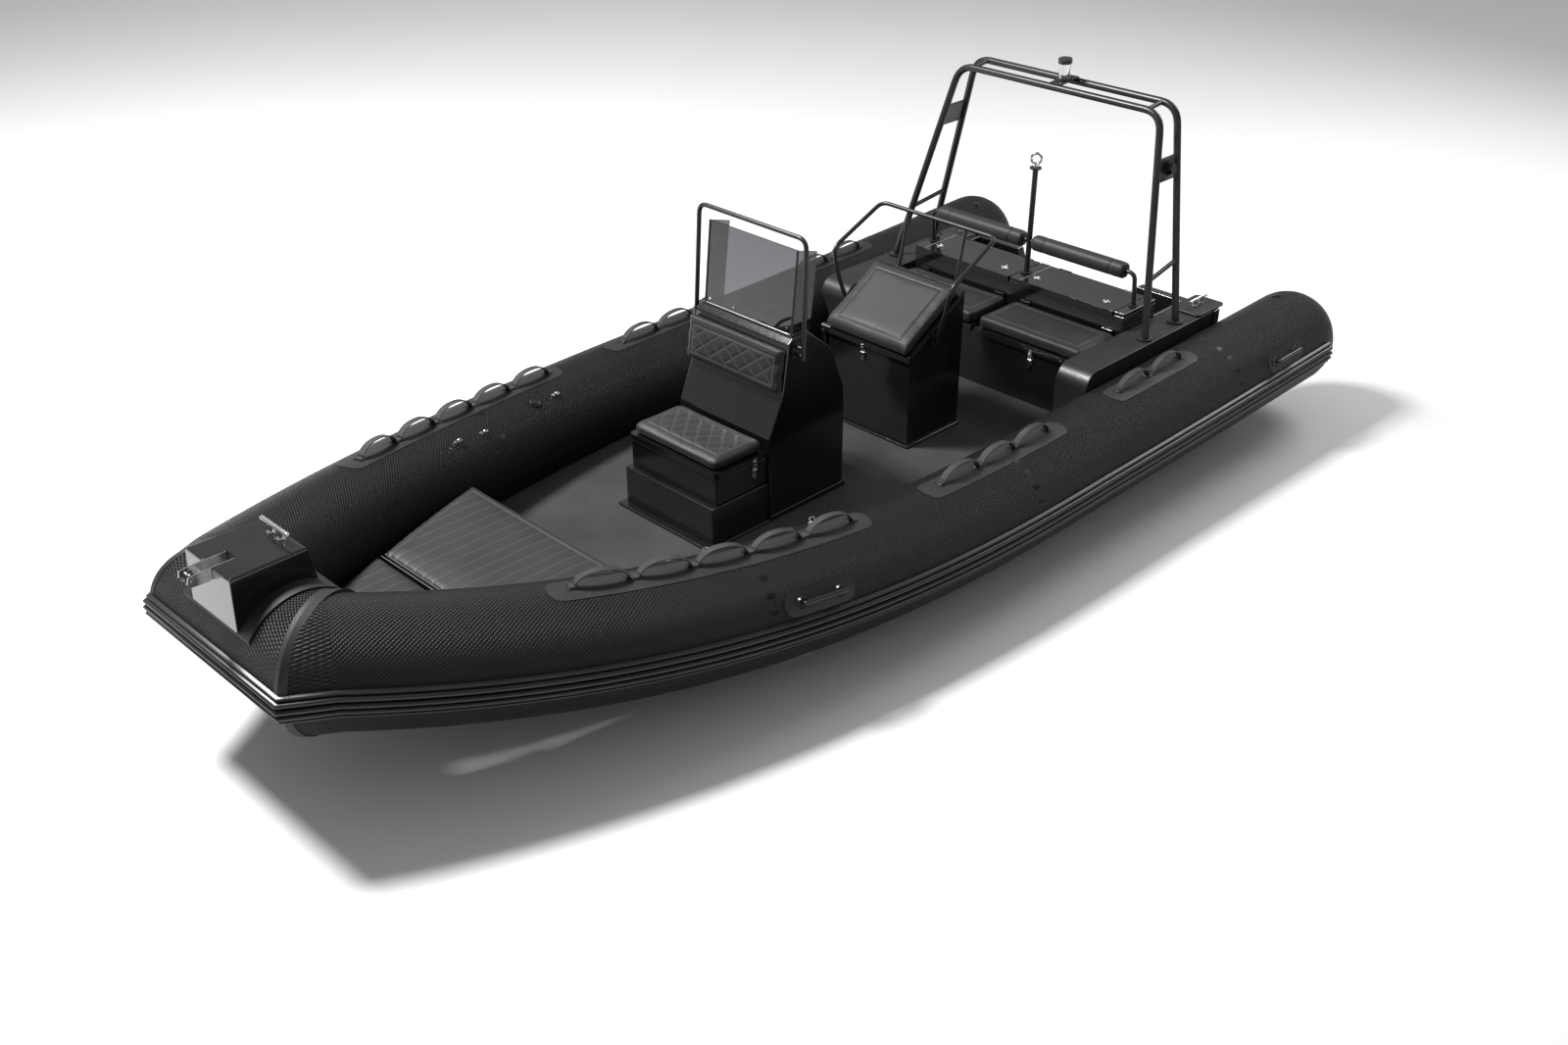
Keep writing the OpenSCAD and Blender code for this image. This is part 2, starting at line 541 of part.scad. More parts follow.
module masthead_light() {
  color(black) translate([0, 2379, 1748.2]) rotate([5.23, 0, 0]) {
    translate([-38, -78, 0]) cube([76, 156, 5]);
    translate([0, 0, 5]) cylinder(h = 14, r = 40);
    translate([0, 0, 19]) cylinder(h = 74, r = 32);
    translate([0, 0, 93]) cylinder(h = 22, r = 36);
  }
}

hull();
deck();
transom();
engine_well();
port_tube();
starboard_tube();
bow_tube();
rubbing_strake();
bow_pad();
bow_step();
roller_bracket();
bow_roller();
bow_cleat();
port_grab_handles();
starboard_grab_handles();
carry_handles();
bow_locker();
bow_locker_lid();
bow_cushion();
forward_cushion();
console_body();
console_pad();
windscreen();
console_rail();
steering_wheel();
throttle();
front_seat_box();
front_seat_lid();
front_seat_cushion();
helm_seat_box();
helm_seat_lid();
helm_seat_cushion();
helm_rail();
bench_box();
port_bench_lid();
port_bench_cushion();
starboard_bench_lid();
starboard_bench_cushion();
aft_ledge();
port_hatch();
starboard_hatch();
side_decks();
stern_platforms();
stern_cleats();
side_vents();
backrest_frame();
backrest_rolls();
tow_mast();
arch();
nav_lights();
masthead_light();
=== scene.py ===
# %% [markdown]
# # Dressing a rigid inflatable boat
# The drawn model already puts every solid in its place. What it lacks is what the eye looks for: woven
# collar cloth, ribbed rubber, stitched vinyl, gloss mouldings with soft edges, and polished fittings.
# Bow is towards -Y, port is +X, and Z is zero at the waterline, all in metres.

# %% Open the frame
import json
import math

import bmesh
import bpy
from mathutils import Matrix, Vector
from mathutils.geometry import convex_hull_2d


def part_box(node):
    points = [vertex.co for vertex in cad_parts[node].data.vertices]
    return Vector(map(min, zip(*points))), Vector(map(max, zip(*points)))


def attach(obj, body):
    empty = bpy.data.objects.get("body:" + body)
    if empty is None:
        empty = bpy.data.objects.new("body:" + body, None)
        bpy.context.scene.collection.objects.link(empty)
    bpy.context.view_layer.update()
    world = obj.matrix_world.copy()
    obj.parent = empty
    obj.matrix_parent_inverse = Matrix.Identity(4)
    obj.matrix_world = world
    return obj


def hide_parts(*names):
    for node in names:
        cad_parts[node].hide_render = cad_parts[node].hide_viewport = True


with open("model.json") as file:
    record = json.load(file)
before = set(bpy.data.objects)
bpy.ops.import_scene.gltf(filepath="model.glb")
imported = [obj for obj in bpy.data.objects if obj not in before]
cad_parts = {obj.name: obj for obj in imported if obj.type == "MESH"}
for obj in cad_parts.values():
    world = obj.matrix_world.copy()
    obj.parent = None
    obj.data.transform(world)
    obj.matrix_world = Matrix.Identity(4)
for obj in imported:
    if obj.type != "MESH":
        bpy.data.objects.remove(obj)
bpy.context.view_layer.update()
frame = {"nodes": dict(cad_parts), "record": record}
BODY = {n: body for body, members in frame["record"]["behaviour"]["bodies"].items() for n in members}
UP = Vector((0, 0, 1))

# %% [markdown]
# ## The camera, the light and the floor
# The boat is seen from ahead on its port bow, from well above the collar. A long lens keeps the stern
# large. One broad soft light stands ahead to starboard, so the tops of the tubes shine and the near side
# stays deep. A weaker, wider one stands astern. The floor is a plain pale sheet at the waterline.

# %% Camera, lights and floor
AZIMUTH, ELEVATION, ROLL = (math.radians(v) for v in (44.25, 30.397, 0.425))
EYE, LENS, FLOOR_RADIUS = (4.843, -4.664, 4.006), 37.04, 45
level = math.cos(ELEVATION)
back = Vector((math.sin(AZIMUTH) * level, -math.cos(AZIMUTH) * level, math.sin(ELEVATION)))
right = (-back).cross(UP).normalized()
over = back.cross(right)
right, over = (math.cos(ROLL) * right + math.sin(ROLL) * over, -math.sin(ROLL) * right + math.cos(ROLL) * over)
camera = bpy.data.objects.new("camera", bpy.data.cameras.new("camera"))
camera.data.lens, camera.data.sensor_width = LENS, 36.0
camera.data.clip_end = 200
camera.matrix_world = Matrix.Translation(EYE) @ Matrix((right, over, back)).transposed().to_4x4()
bpy.context.scene.collection.objects.link(camera)
bpy.context.scene.camera = camera


def soft_light(name, where, aim, size, watts):
    lamp = bpy.data.lights.new(name, "AREA")
    lamp.shape, lamp.size, lamp.energy = "DISK", size, watts
    made = bpy.data.objects.new(name, lamp)
    turn = (Vector(where) - Vector(aim)).to_track_quat("Z", "Y").to_matrix().to_4x4()
    made.matrix_world = Matrix.Translation(where) @ turn
    bpy.context.scene.collection.objects.link(made)


soft_light("key", (-4.2, -3.0, 8.6), (0, 0.2, 0.4), 2.2, 1750)
soft_light("rim", (1.0, 8.5, 5.5), (0, 1.0, 0.6), 4.0, 260)
world = bpy.data.worlds.new("studio")
world.use_nodes = True
world.node_tree.nodes["Background"].inputs["Color"].default_value = (0.95, 0.96, 0.98, 1)
world.node_tree.nodes["Background"].inputs["Strength"].default_value = 0.34
bpy.context.scene.world = world
bpy.context.scene.view_settings.view_transform = "Standard"

shape = bmesh.new()
bmesh.ops.create_circle(shape, cap_ends=True, segments=64, radius=FLOOR_RADIUS)
sheet = bpy.data.meshes.new("floor")
shape.to_mesh(sheet)
shape.free()
floor = bpy.data.objects.new("floor", sheet)
bpy.context.scene.collection.objects.link(floor)
print("camera at", [round(v, 3) for v in camera.matrix_world.translation], "lens", camera.data.lens)

# %% [markdown]
# ## Patterns that several finishes share
# Weave, leather grain, ribs and the slow change of tone that weather leaves are each one node group. A
# group is built once, and every finish that uses it sets its own cell size.

# %% Helpers for node trees


def put(tree, kind, inputs=None, **settings):
    """Adds a node, sets it, and links or fills its inputs."""
    n = tree.nodes.new("ShaderNode" + kind)
    for key, value in settings.items():
        setattr(n, key, value)
    for key, value in (inputs or {}).items():
        if isinstance(value, bpy.types.NodeSocket):
            tree.links.new(value, n.inputs[key])
        else:
            n.inputs[key].default_value = value
    return n


def sums(tree, operation, *terms):
    return put(tree, "Math", dict(enumerate(terms)), operation=operation).outputs[0]


def pattern(name, values, outputs=("Height",)):
    """An empty node group that takes a Vector and some numbers."""
    tree = bpy.data.node_groups.new(name, "ShaderNodeTree")
    tree.interface.new_socket("Vector", in_out="INPUT", socket_type="NodeSocketVector")
    for label, value in values.items():
        tree.interface.new_socket(label, in_out="INPUT", socket_type="NodeSocketFloat").default_value = value
    for label in outputs:
        tree.interface.new_socket(label, in_out="OUTPUT", socket_type="NodeSocketFloat")
    return tree, tree.nodes.new("NodeGroupInput").outputs, tree.nodes.new("NodeGroupOutput").inputs


# %% Diamond weave, ribs, leather grain and weathering
tree, given, result = pattern("diamond weave", {"Cell": 0.02})
axis = put(tree, "SeparateXYZ", {0: given["Vector"]}).outputs
turns = sums(tree, "DIVIDE", math.pi, given["Cell"])
waves = [
    sums(tree, "ABSOLUTE", sums(tree, "SINE", sums(tree, "MULTIPLY", sums(tree, way, axis[0], axis[1]), turns)))
    for way in ("ADD", "SUBTRACT")
]
tree.links.new(sums(tree, "POWER", sums(tree, "MULTIPLY", *waves), 0.6), result["Height"])

tree, given, result = pattern("ribs", {"Cell": 0.005})
axis = put(tree, "SeparateXYZ", {0: given["Vector"]}).outputs
turns = sums(tree, "DIVIDE", math.pi, given["Cell"])
tree.links.new(sums(tree, "ABSOLUTE", sums(tree, "SINE", sums(tree, "MULTIPLY", axis[0], turns))), result["Height"])

tree, given, result = pattern("leather grain", {"Cell": 0.003})
scale = sums(tree, "DIVIDE", 1.0, given["Cell"])
cells = put(tree, "TexVoronoi", {"Vector": given["Vector"], "Scale": scale}, feature="DISTANCE_TO_EDGE")
pebbles = sums(tree, "MINIMUM", cells.outputs["Distance"], 0.25)
wide = sums(tree, "MULTIPLY", scale, 0.35)
creases = put(tree, "TexNoise", {"Vector": given["Vector"], "Scale": wide, "Detail": 4.0}).outputs[0]
tree.links.new(sums(tree, "ADD", pebbles, sums(tree, "MULTIPLY", creases, 0.35)), result["Height"])

tree, given, result = pattern("weathering", {"Size": 0.6}, ("Tone", "Fine"))
scale = sums(tree, "DIVIDE", 1.0, given["Size"])
broad = put(tree, "TexNoise", {"Vector": given["Vector"], "Scale": scale, "Detail": 3.0, "Roughness": 0.6}).outputs[0]
dense = sums(tree, "MULTIPLY", scale, 60.0)
fine = put(tree, "TexNoise", {"Vector": given["Vector"], "Scale": dense, "Detail": 6.0}).outputs[0]
tone = put(tree, "MapRange", {"Value": broad, "From Min": 0.32, "From Max": 0.68}).outputs["Result"]
tree.links.new(tone, result["Tone"])
tree.links.new(fine, result["Fine"])
print("patterns:", [g.name for g in bpy.data.node_groups])

# %% [markdown]
# ## One recipe for a finish
# Where a finish asks for it, the pattern's valleys also get painted shade: the colour is mixed towards near black
# there.
# Every finish here has a darker and a lighter colour that weathering blends and a roughness that moves
# between two values. Its relief, a pattern or else the fine grain of the weathering, feeds a Bump node.
# Sockets that never change over the surface are set on the shader itself.

# %% The recipe


def surface(name, colours, rough, relief=None, cell=0.01, depth=0.001, strength=0.5, coords="Object", patch=0.6,
            shade=0.0, seam=None, **sockets):
    """A Principled material with weathered tone, moving roughness, a relief and, when shade is given, painted shade
    in the relief's valleys.
    """
    made = bpy.data.materials.new(name)
    made.use_nodes = True
    tree = made.node_tree
    shader = tree.nodes["Principled BSDF"]
    for key, value in sockets.items():
        shader.inputs[key.replace("_", " ")].default_value = value
    place = put(tree, "TexCoord").outputs
    weather = put(tree, "Group", node_tree=bpy.data.node_groups["weathering"])
    tree.links.new(place["Object"], weather.inputs["Vector"])
    weather.inputs["Size"].default_value = patch
    dark, light = ((*colour, 1) for colour in colours)
    mixed = put(tree, "Mix", {0: weather.outputs["Tone"], 6: dark, 7: light}, data_type="RGBA").outputs[2]
    height = weather.outputs["Fine"]
    if relief:
        cells = put(tree, "Group", node_tree=bpy.data.node_groups[relief])
        tree.links.new(place[coords], cells.inputs["Vector"])
        cells.inputs["Cell"].default_value = cell
        height = cells.outputs["Height"]
        if shade:
            # Painted shade: the low parts of the relief are mixed towards near black, as far as the shade value.
            low = put(tree, "MapRange", {"Value": height, "To Min": shade, "To Max": 0.0}).outputs["Result"]
            mixed = put(tree, "Mix", {0: low, 6: mixed, 7: (0.002, 0.002, 0.002, 1)}, data_type="RGBA").outputs[2]
    # The seam colour goes on the seam mark: a pale thread on one vinyl, near black on the other as painted shade in
    # the sewn grooves.
    if seam:
        line = put(tree, "Attribute", attribute_name="seam").outputs["Fac"]
        mixed = put(tree, "Mix", {0: line, 6: mixed, 7: (*seam, 1)}, data_type="RGBA").outputs[2]
    spread = {"From Min": 0.3, "From Max": 0.7, "To Min": rough[0], "To Max": rough[1]}
    dull = put(tree, "MapRange", {"Value": weather.outputs["Fine"], **spread})
    bump = put(tree, "Bump", {"Strength": strength, "Distance": depth, "Height": height})
    tree.links.new(mixed, shader.inputs["Base Color"])
    tree.links.new(dull.outputs["Result"], shader.inputs["Roughness"])
    tree.links.new(bump.outputs["Normal"], shader.inputs["Normal"])
    return made


# %% The boat's finishes
# The woven tube cloth, the nonskid deck and the webbing paint shade into the valleys of their weave or ribs.
tube_cloth = surface("tube_cloth", [(0.004, 0.004, 0.0045), (0.007, 0.007, 0.0075)], (0.36, 0.5), "diamond weave",
                     0.0175, 0.0035, 0.8, "UV", shade=0.6, Specular_IOR_Level=0.22)
patch_cloth = surface("patch_cloth", [(0.008, 0.008, 0.0085), (0.014, 0.014, 0.0145)], (0.5, 0.7), "leather grain",
                      0.006, 0.0006, 0.5, patch=0.3)
strake_rubber = surface("strake_rubber", [(0.008, 0.008, 0.009), (0.014, 0.014, 0.015)], (0.3, 0.45),
                        depth=0.0004, strength=0.3, patch=0.25)
gloss_black = surface("gloss_black", [(0.004, 0.004, 0.005), (0.009, 0.009, 0.010)], (0.1, 0.2),
                      depth=0.0002, strength=0.12, patch=0.4, Coat_Weight=0.6, Coat_Roughness=0.06)
satin_moulding = surface("satin_moulding", [(0.010, 0.010, 0.011), (0.020, 0.020, 0.021)], (0.32, 0.5),
                         "leather grain", 0.005, 0.0003, 0.25, patch=0.5)
deck_nonskid = surface("deck_nonskid", [(0.020, 0.0205, 0.021), (0.042, 0.043, 0.044)], (0.6, 0.85), "diamond weave",
                       0.012, 0.0018, 0.8, patch=0.45, shade=0.35)
powder_coat = surface("powder_coat", [(0.008, 0.008, 0.009), (0.016, 0.016, 0.017)], (0.28, 0.42),
                      "leather grain", 0.0016, 0.0002, 0.35, patch=0.2)
stainless = surface("stainless", [(0.52, 0.52, 0.53), (0.72, 0.72, 0.72)], (0.12, 0.3),
                    depth=0.0001, strength=0.1, patch=0.05, Metallic=1.0)
VINYL_TONES = [(0.014, 0.0143, 0.015), (0.022, 0.0224, 0.0235)]
# The plain vinyl's near-black seam colour is painted shade in its sewn grooves; the other vinyl's pale seam colour is
# its thread.
vinyl, light_thread = (
    surface(name, VINYL_TONES, (0.45, 0.62), "leather grain", 0.0035, 0.0006, 0.45, patch=0.35, seam=thread_and_groove_shade,
            Specular_IOR_Level=0.4, Sheen_Weight=0.03)
    for name, thread_and_groove_shade in (("vinyl", (0.003, 0.003, 0.003)), ("vinyl_light_thread", (0.055, 0.054, 0.051)))
)
webbing = surface("webbing", [(0.012, 0.012, 0.013), (0.030, 0.030, 0.031)], (0.5, 0.7),
                  "ribs", 0.006, 0.0012, 0.9, "UV", patch=0.1, shade=0.5)
black_rubber = surface("black_rubber", [(0.006, 0.006, 0.006), (0.012, 0.012, 0.012)], (0.25, 0.4),
                       depth=0.0002, strength=0.2, patch=0.1)
# The piping's pale colour is a painted highlight along the cushion edges at the split.
piping_with_painted_highlight = surface("piping_with_painted_highlight", [(0.07, 0.07, 0.068), (0.10, 0.10, 0.098)], (0.4, 0.55),
                       depth=0.0002, strength=0.1, patch=0.1)
bare_floor = surface("bare_floor", [(0.80, 0.80, 0.80), (0.84, 0.84, 0.84)], (0.85, 0.95), strength=0.0, patch=8.0)
floor.data.materials.append(bare_floor)


def clear(name, colour, rough, ior=1.49):
    """Glass or acrylic: light goes through, tinted."""
    made = bpy.data.materials.new(name)
    made.use_nodes = True
    shader = made.node_tree.nodes["Principled BSDF"].inputs
    fixed = {"Base Color": (*colour, 1), "Roughness": rough, "Transmission Weight": 1.0, "IOR": ior}
    for key, value in fixed.items():
        shader[key].default_value = value
    return made


tinted = clear("tinted_acrylic", (0.10, 0.10, 0.11), 0.02)
lens_clear = clear("lens_clear", (0.95, 0.95, 0.92), 0.05)
lens_red = clear("lens_red", (0.6, 0.02, 0.02), 0.08)
lens_green = clear("lens_green", (0.02, 0.4, 0.12), 0.08)
print("finishes:", len(bpy.data.materials))

# %% [markdown]
# ## Tools of the workshop
# Each new piece starts as a bmesh and ends as an object at the origin that rides on its body. Boxy
# mouldings are merged copies of the drawn solids with their hard edges rounded, because a real moulding
# never has a knife edge, and the bright line that a soft edge catches is most of how black gloss is read.

# %% From bmesh to piece


def piece(bm, name, material, body="boat", stands_for=(), sharp=38, weighted=False):
    """Turns a bmesh into a shaded piece that rides on a body."""
    for f in bm.faces:
        f.smooth = True
    for e in bm.edges:
        e.smooth = not (len(e.link_faces) == 2 and e.calc_face_angle(0) > math.radians(sharp))
    mesh = bpy.data.meshes.new(name)
    bm.to_mesh(mesh)
    bm.free()
    made = bpy.data.objects.new(name, mesh)
    bpy.context.scene.collection.objects.link(made)
    mesh.materials.append(material)
    if weighted:
        made.modifiers.new("even shading", "WEIGHTED_NORMAL").keep_sharp = True
    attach(made, body)
    if stands_for:
        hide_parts(*stands_for)
    return made


def drawn(node):
    """A merged copy of a drawn solid."""
    bm = bmesh.new()
    bm.from_mesh(frame["nodes"][node].data)
    bmesh.ops.remove_doubles(bm, verts=bm.verts, dist=2e-5)
    return bm


def soften(bm, edges, radius, segments):
    """Rounds edges over."""
    bmesh.ops.bevel(bm, geom=edges, offset=radius, offset_type="OFFSET", affect="EDGES", segments=segments,
                    profile=0.5, material=-1, clamp_overlap=True)


def moulded(node, material, soft, segments=3, angle=30):
    """A drawn solid with its hard edges rounded over."""
    bm = drawn(node)
    if soft:
        bmesh.ops.dissolve_limit(bm, angle_limit=math.radians(0.6), verts=bm.verts, edges=bm.edges)
        hard = [e for e in bm.edges if len(e.link_faces) == 2 and e.calc_face_angle(0) > math.radians(angle)]
        soften(bm, hard, soft, segments)
    made = piece(bm, node + "_moulding", material, BODY[node], [node], weighted=bool(soft))
    print(f"{made.name}: {len(made.data.polygons)} faces")
    return made


def block(bm, low, high, soft=0.0, turn=None, segments=2):
    """A box between two corners, with softened edges, turned in place if asked."""
    low, high = Vector(low), Vector(high)
    place = Matrix.Translation((low + high) / 2) @ (turn or Matrix()) @ Matrix.Diagonal((*(high - low), 1))
    new = bmesh.ops.create_cube(bm, size=1, matrix=place)["verts"]
    if soft:
        soften(bm, list({e for v in new for e in v.link_edges}), soft, segments)


def stick(bm, start, end, r1, r2=None, segments=24):
    """A round bar, or a cone, from start to end."""
    start, end = Vector(start), Vector(end)
    turn = (end - start).to_track_quat("Z", "Y").to_matrix().to_4x4()
    bmesh.ops.create_cone(bm, cap_ends=True, segments=segments, radius1=r1, radius2=r1 if r2 is None else r2,
                          depth=(end - start).length, matrix=Matrix.Translation((start + end) / 2) @ turn)


def hoop(bm, centre, normal, big, small, segments=36, sides=12):
    """A torus: a small ring spun round an axis."""
    normal = Vector(normal).normalized()
    turn = Matrix.Translation(centre) @ normal.to_track_quat("Z", "Y").to_matrix().to_4x4()
    place = turn @ Matrix.Translation((big, 0, 0)) @ Matrix.Rotation(math.pi / 2, 4, "X")
    ring = bmesh.ops.create_circle(bm, segments=sides, radius=small, matrix=place)["verts"]
    edges = list({e for v in ring for e in v.link_edges})
    bmesh.ops.spin(bm, geom=ring + edges, cent=centre, axis=normal, angle=2 * math.pi, steps=segments, use_merge=True)


# %% Sweeping a ring along a line


def sweep(bm, places, outline=None, sides=64):
    """Extrudes a closed ring through a row of places; remembers how far along and around each point is."""
    around = bm.verts.layers.float.get("around") or bm.verts.layers.float.new("around")
    along = bm.verts.layers.float.get("along") or bm.verts.layers.float.new("along")
    if outline:
        ring = [bm.verts.new((x, y, 0)) for x, y in outline]
        edges = [bm.edges.new((ring[i - 1], v)) for i, v in enumerate(ring)]
    else:
        ring = bmesh.ops.create_circle(bm, segments=sides, radius=1)["verts"]
        edges = list({e for v in ring for e in v.link_edges})
    count = len(ring)
    for i, v in enumerate(ring):
        v[around] = i if outline else round(math.atan2(v.co.y, v.co.x) / (2 * math.pi) * count) % count
    bmesh.ops.transform(bm, matrix=places[0], verts=ring)
    caps = [list(ring)]
    travelled = 0.0
    faces = []
    for before, after in zip(places, places[1:]):
        grown = bmesh.ops.extrude_edge_only(bm, edges=edges)["geom"]
        ring = [g for g in grown if isinstance(g, bmesh.types.BMVert)]
        fresh = set(ring)
        edges = [g for g in grown if isinstance(g, bmesh.types.BMEdge) and set(g.verts) <= fresh]
        bmesh.ops.transform(bm, matrix=after @ before.inverted(), verts=ring)
        travelled += (after.translation - before.translation).length
        for v in ring:
            v[along] = travelled
        faces += [f for v in ring for f in v.link_faces]
    sheet = bm.loops.layers.uv.get("unrolled") or bm.loops.layers.uv.new("unrolled")
    first = set(caps[0])
    girth = sum(e.calc_length() for e in {e for v in first for e in v.link_edges} if set(e.verts) <= first)
    for f in set(faces):
        spokes = [loop.vert[around] for loop in f.loops]
        wraps = max(spokes) - min(spokes) > 1.5
        for loop in f.loops:
            spoke = count if wraps and loop.vert[around] == 0 else loop.vert[around]
            loop[sheet].uv = (loop.vert[along], spoke / count * girth)
    for ends in (caps[0], ring):
        inner = set(ends)
        bmesh.ops.contextual_create(bm, geom=[e for e in bm.edges if set(e.verts) <= inner and len(e.link_faces) < 2])
    bmesh.ops.recalc_face_normals(bm, faces=bm.faces)


def places_along(points, size, up=UP):
    """Placing matrices for a bent bar: local X to the side, local Y up, at each point."""
    points = [Vector(p) for p in points]
    rows = []
    for i, p in enumerate(points):
        a, b = points[max(i - 1, 0)], points[min(i + 1, len(points) - 1)]
        go = (b - a).normalized()
        side = go.cross(up).normalized()
        top = side.cross(go)
        rows.append(Matrix.Translation(p) @ Matrix((side * size, top * size, go)).transposed().to_4x4())
    return rows


print("tools ready")

# %% [markdown]
# ## The collar
# A collar is a round tube of coated cloth that runs down each side and turns square across the bow. A
# ring swept along the tube's own centre line gives a smooth skin that can be unrolled, so the weave runs
# along the tube as it does on the real cloth, instead of being cut through space.

# %% The tube's centre line
TUBE_R, BOW_X, BOW_Y, BEAM, STERN_Y, CONE = 0.255, 0.317, -2.413, 1.074, 3.130, 0.215


def half_beam(y):
    """Across: the tubes draw in towards the bow and flare a little aft of y = 1.1."""
    return BEAM - (BEAM - BOW_X) * ((1.1 - y) / (1.1 - BOW_Y)) ** 2.7 if y < 1.1 else BEAM + 0.0135 * (y - 1.1)


def sheer(y):
    """Height: lowest at y = 0.6, rising to the bow and a little to the stern."""
    if y < 0.6:
        return 0.356 + 0.252 * ((0.6 - y) / (0.6 - BOW_Y)) ** 2.4
    return 0.356 + 0.052 * ((y - 0.6) / 2.573) ** 1.5


def collar_at(y):
    """Centre, outward and fore-and-aft directions of the port tube at a station."""
    centre, ahead = (Vector((half_beam(v), v, sheer(v))) for v in (y, y + 0.01))
    go = (ahead - centre).normalized()
    return centre, go.cross(UP).normalized(), go


def ring_place(y, r=TUBE_R):
    centre, out, go = collar_at(y)
    return Matrix.Translation(centre) @ Matrix((out * r, UP * r, go)).transposed().to_4x4()


corner = collar_at(BOW_Y)[0]
TURN = math.atan2(collar_at(BOW_Y)[2].x, collar_at(BOW_Y)[2].y)
LEAN = math.pi / 4 + TURN / 2
MITRE = math.pi / 4 - TURN / 2


def mitre_place(r=TUBE_R, nudge=0.0):
    reach = Vector((math.cos(LEAN), -math.sin(LEAN), 0)) / math.cos(MITRE)
    go = Vector((math.sin(LEAN), math.cos(LEAN), 0))
    return Matrix.Translation(corner + go * nudge) @ Matrix((reach * r, UP * r, go)).transposed().to_4x4()


def mirrored(bm):
    """The same piece for the starboard side."""
    bmesh.ops.scale(bm, vec=(-1, 1, 1), verts=bm.verts)
    bmesh.ops.reverse_faces(bm, faces=bm.faces)
    return bm


stations = [BOW_Y + 0.045 * i for i in range(1, 31)]
while stations[-1] < STERN_Y - 0.09:
    stations.append(stations[-1] + 0.09)
stations.append(STERN_Y)
print("stations", len(stations), "mitre", round(math.degrees(MITRE), 1))

# %% The two side tubes and the bow tube
end_centre = collar_at(STERN_Y)[0]


def side_tube(grow=0.0):
    r = TUBE_R + grow
    rows = [mitre_place(r, 0.0004)] + [ring_place(y, r) for y in stations]
    for deg in (10, 20, 30, 40, 50, 60, 70, 78, 84):
        k, reach = math.cos(math.radians(deg)), math.sin(math.radians(deg))
        turned = Matrix((Vector((r * k, 0, 0)), UP * r * k, Vector((0, 1, 0)))).transposed().to_4x4()
        rows.append(Matrix.Translation(end_centre + Vector((0, CONE * reach, 0.006 * reach))) @ turned)
    return rows


bow_rows = []
for side in (-1, 1):
    place = mitre_place()
    if side < 0:
        place = Matrix.Diagonal((-1, 1, 1, 1)) @ place
    bow_rows.append(place)
across = Matrix((Vector((0, -TUBE_R, 0)), UP * TUBE_R, Vector((1, 0, 0)))).transposed().to_4x4()
middle = [Matrix.Translation((x, BOW_Y, sheer(BOW_Y))) @ across for x in (-0.2, -0.1, 0, 0.1, 0.2)]

port_skin = bmesh.new()
sweep(port_skin, side_tube())
starboard_skin = mirrored(port_skin.copy())
piece(port_skin, "port_collar", tube_cloth, stands_for=["port_tube"])
piece(starboard_skin, "starboard_collar", tube_cloth, stands_for=["starboard_tube"])
bow_skin = bmesh.new()
sweep(bow_skin, [bow_rows[0], *middle, bow_rows[1]])
piece(bow_skin, "bow_collar", tube_cloth, stands_for=["bow_tube"])
apron = bmesh.new()
block(apron, (-0.26, -2.235, 0.436), (0.26, -2.075, 0.446), 0.003)
piece(apron, "bow_apron", patch_cloth)
print("collar and its bow apron made")

# %% [markdown]
# ## Tapes, patches and the rubbing strake
# Where the side tubes meet the bow tube the cloth is cut on a mitre and covered with a tape. The strake
# is one extruded rubber moulding: three fat ribs between two thin lips, glued round the outside. Both
# follow the same line as the collar, so they are swept with the same places.

# %% Mitre tapes
side_go = collar_at(BOW_Y)[2]
for side, label in ((1, "port"), (-1, "starboard")):
    tape, bow_half = bmesh.new(), bmesh.new()
    slanted = mitre_place(TUBE_R + 0.0022)
    sweep(tape, [slanted, Matrix.Translation(side_go * 0.032) @ slanted], sides=64)
    slanted = mitre_place(TUBE_R + 0.0018)
    sweep(bow_half, [Matrix.Translation((-0.024, 0, 0)) @ slanted, slanted], sides=64)
    for shape, name in ((tape, f"{label}_mitre_tape"), (bow_half, f"{label}_bow_tape")):
        piece(mirrored(shape) if side < 0 else shape, name, patch_cloth, sharp=60)

# %% Rubbing strake
r = TUBE_R
RIBS = [  # bottom, top and how far each rib stands proud of the tube
    (-0.060, -0.050, 0.010), (-0.042, -0.020, 0.024), (-0.016, 0.008, 0.0275), (0.012, 0.034, 0.024),
    (0.040, 0.050, 0.010),
]
ribs = [(r - 0.004, -0.060)]
for low, high, proud in RIBS:
    for step in range(7):
        turn = math.pi * step / 6
        bulge = (proud - 0.005) * math.sin(turn) ** 0.7
        ribs.append((r + 0.005 + bulge, (low + high) / 2 - (high - low) / 2 * math.cos(turn)))
ribs.append((r - 0.004, 0.054))
strake = bmesh.new()
port_run = [ring_place(y, 1.0) for y in reversed(stations)] + [mitre_place(1.0)]
starboard_run = [Matrix.Diagonal((-1, 1, 1, 1)) @ m for m in reversed(port_run)]
sweep(strake, port_run + starboard_run, outline=ribs)
piece(strake, "rib_strake", strake_rubber, stands_for=["rubbing_strake"], sharp=50)


# %% Cloth strips wrapped on the tube


def on_collar(y, turn, lift=0.0):
    """A point on the port tube: turn 0 is outboard, a quarter turn is the top."""
    centre, out, _ = collar_at(y)
    return centre + (out * math.cos(turn) + UP * math.sin(turn)) * (TUBE_R + lift)


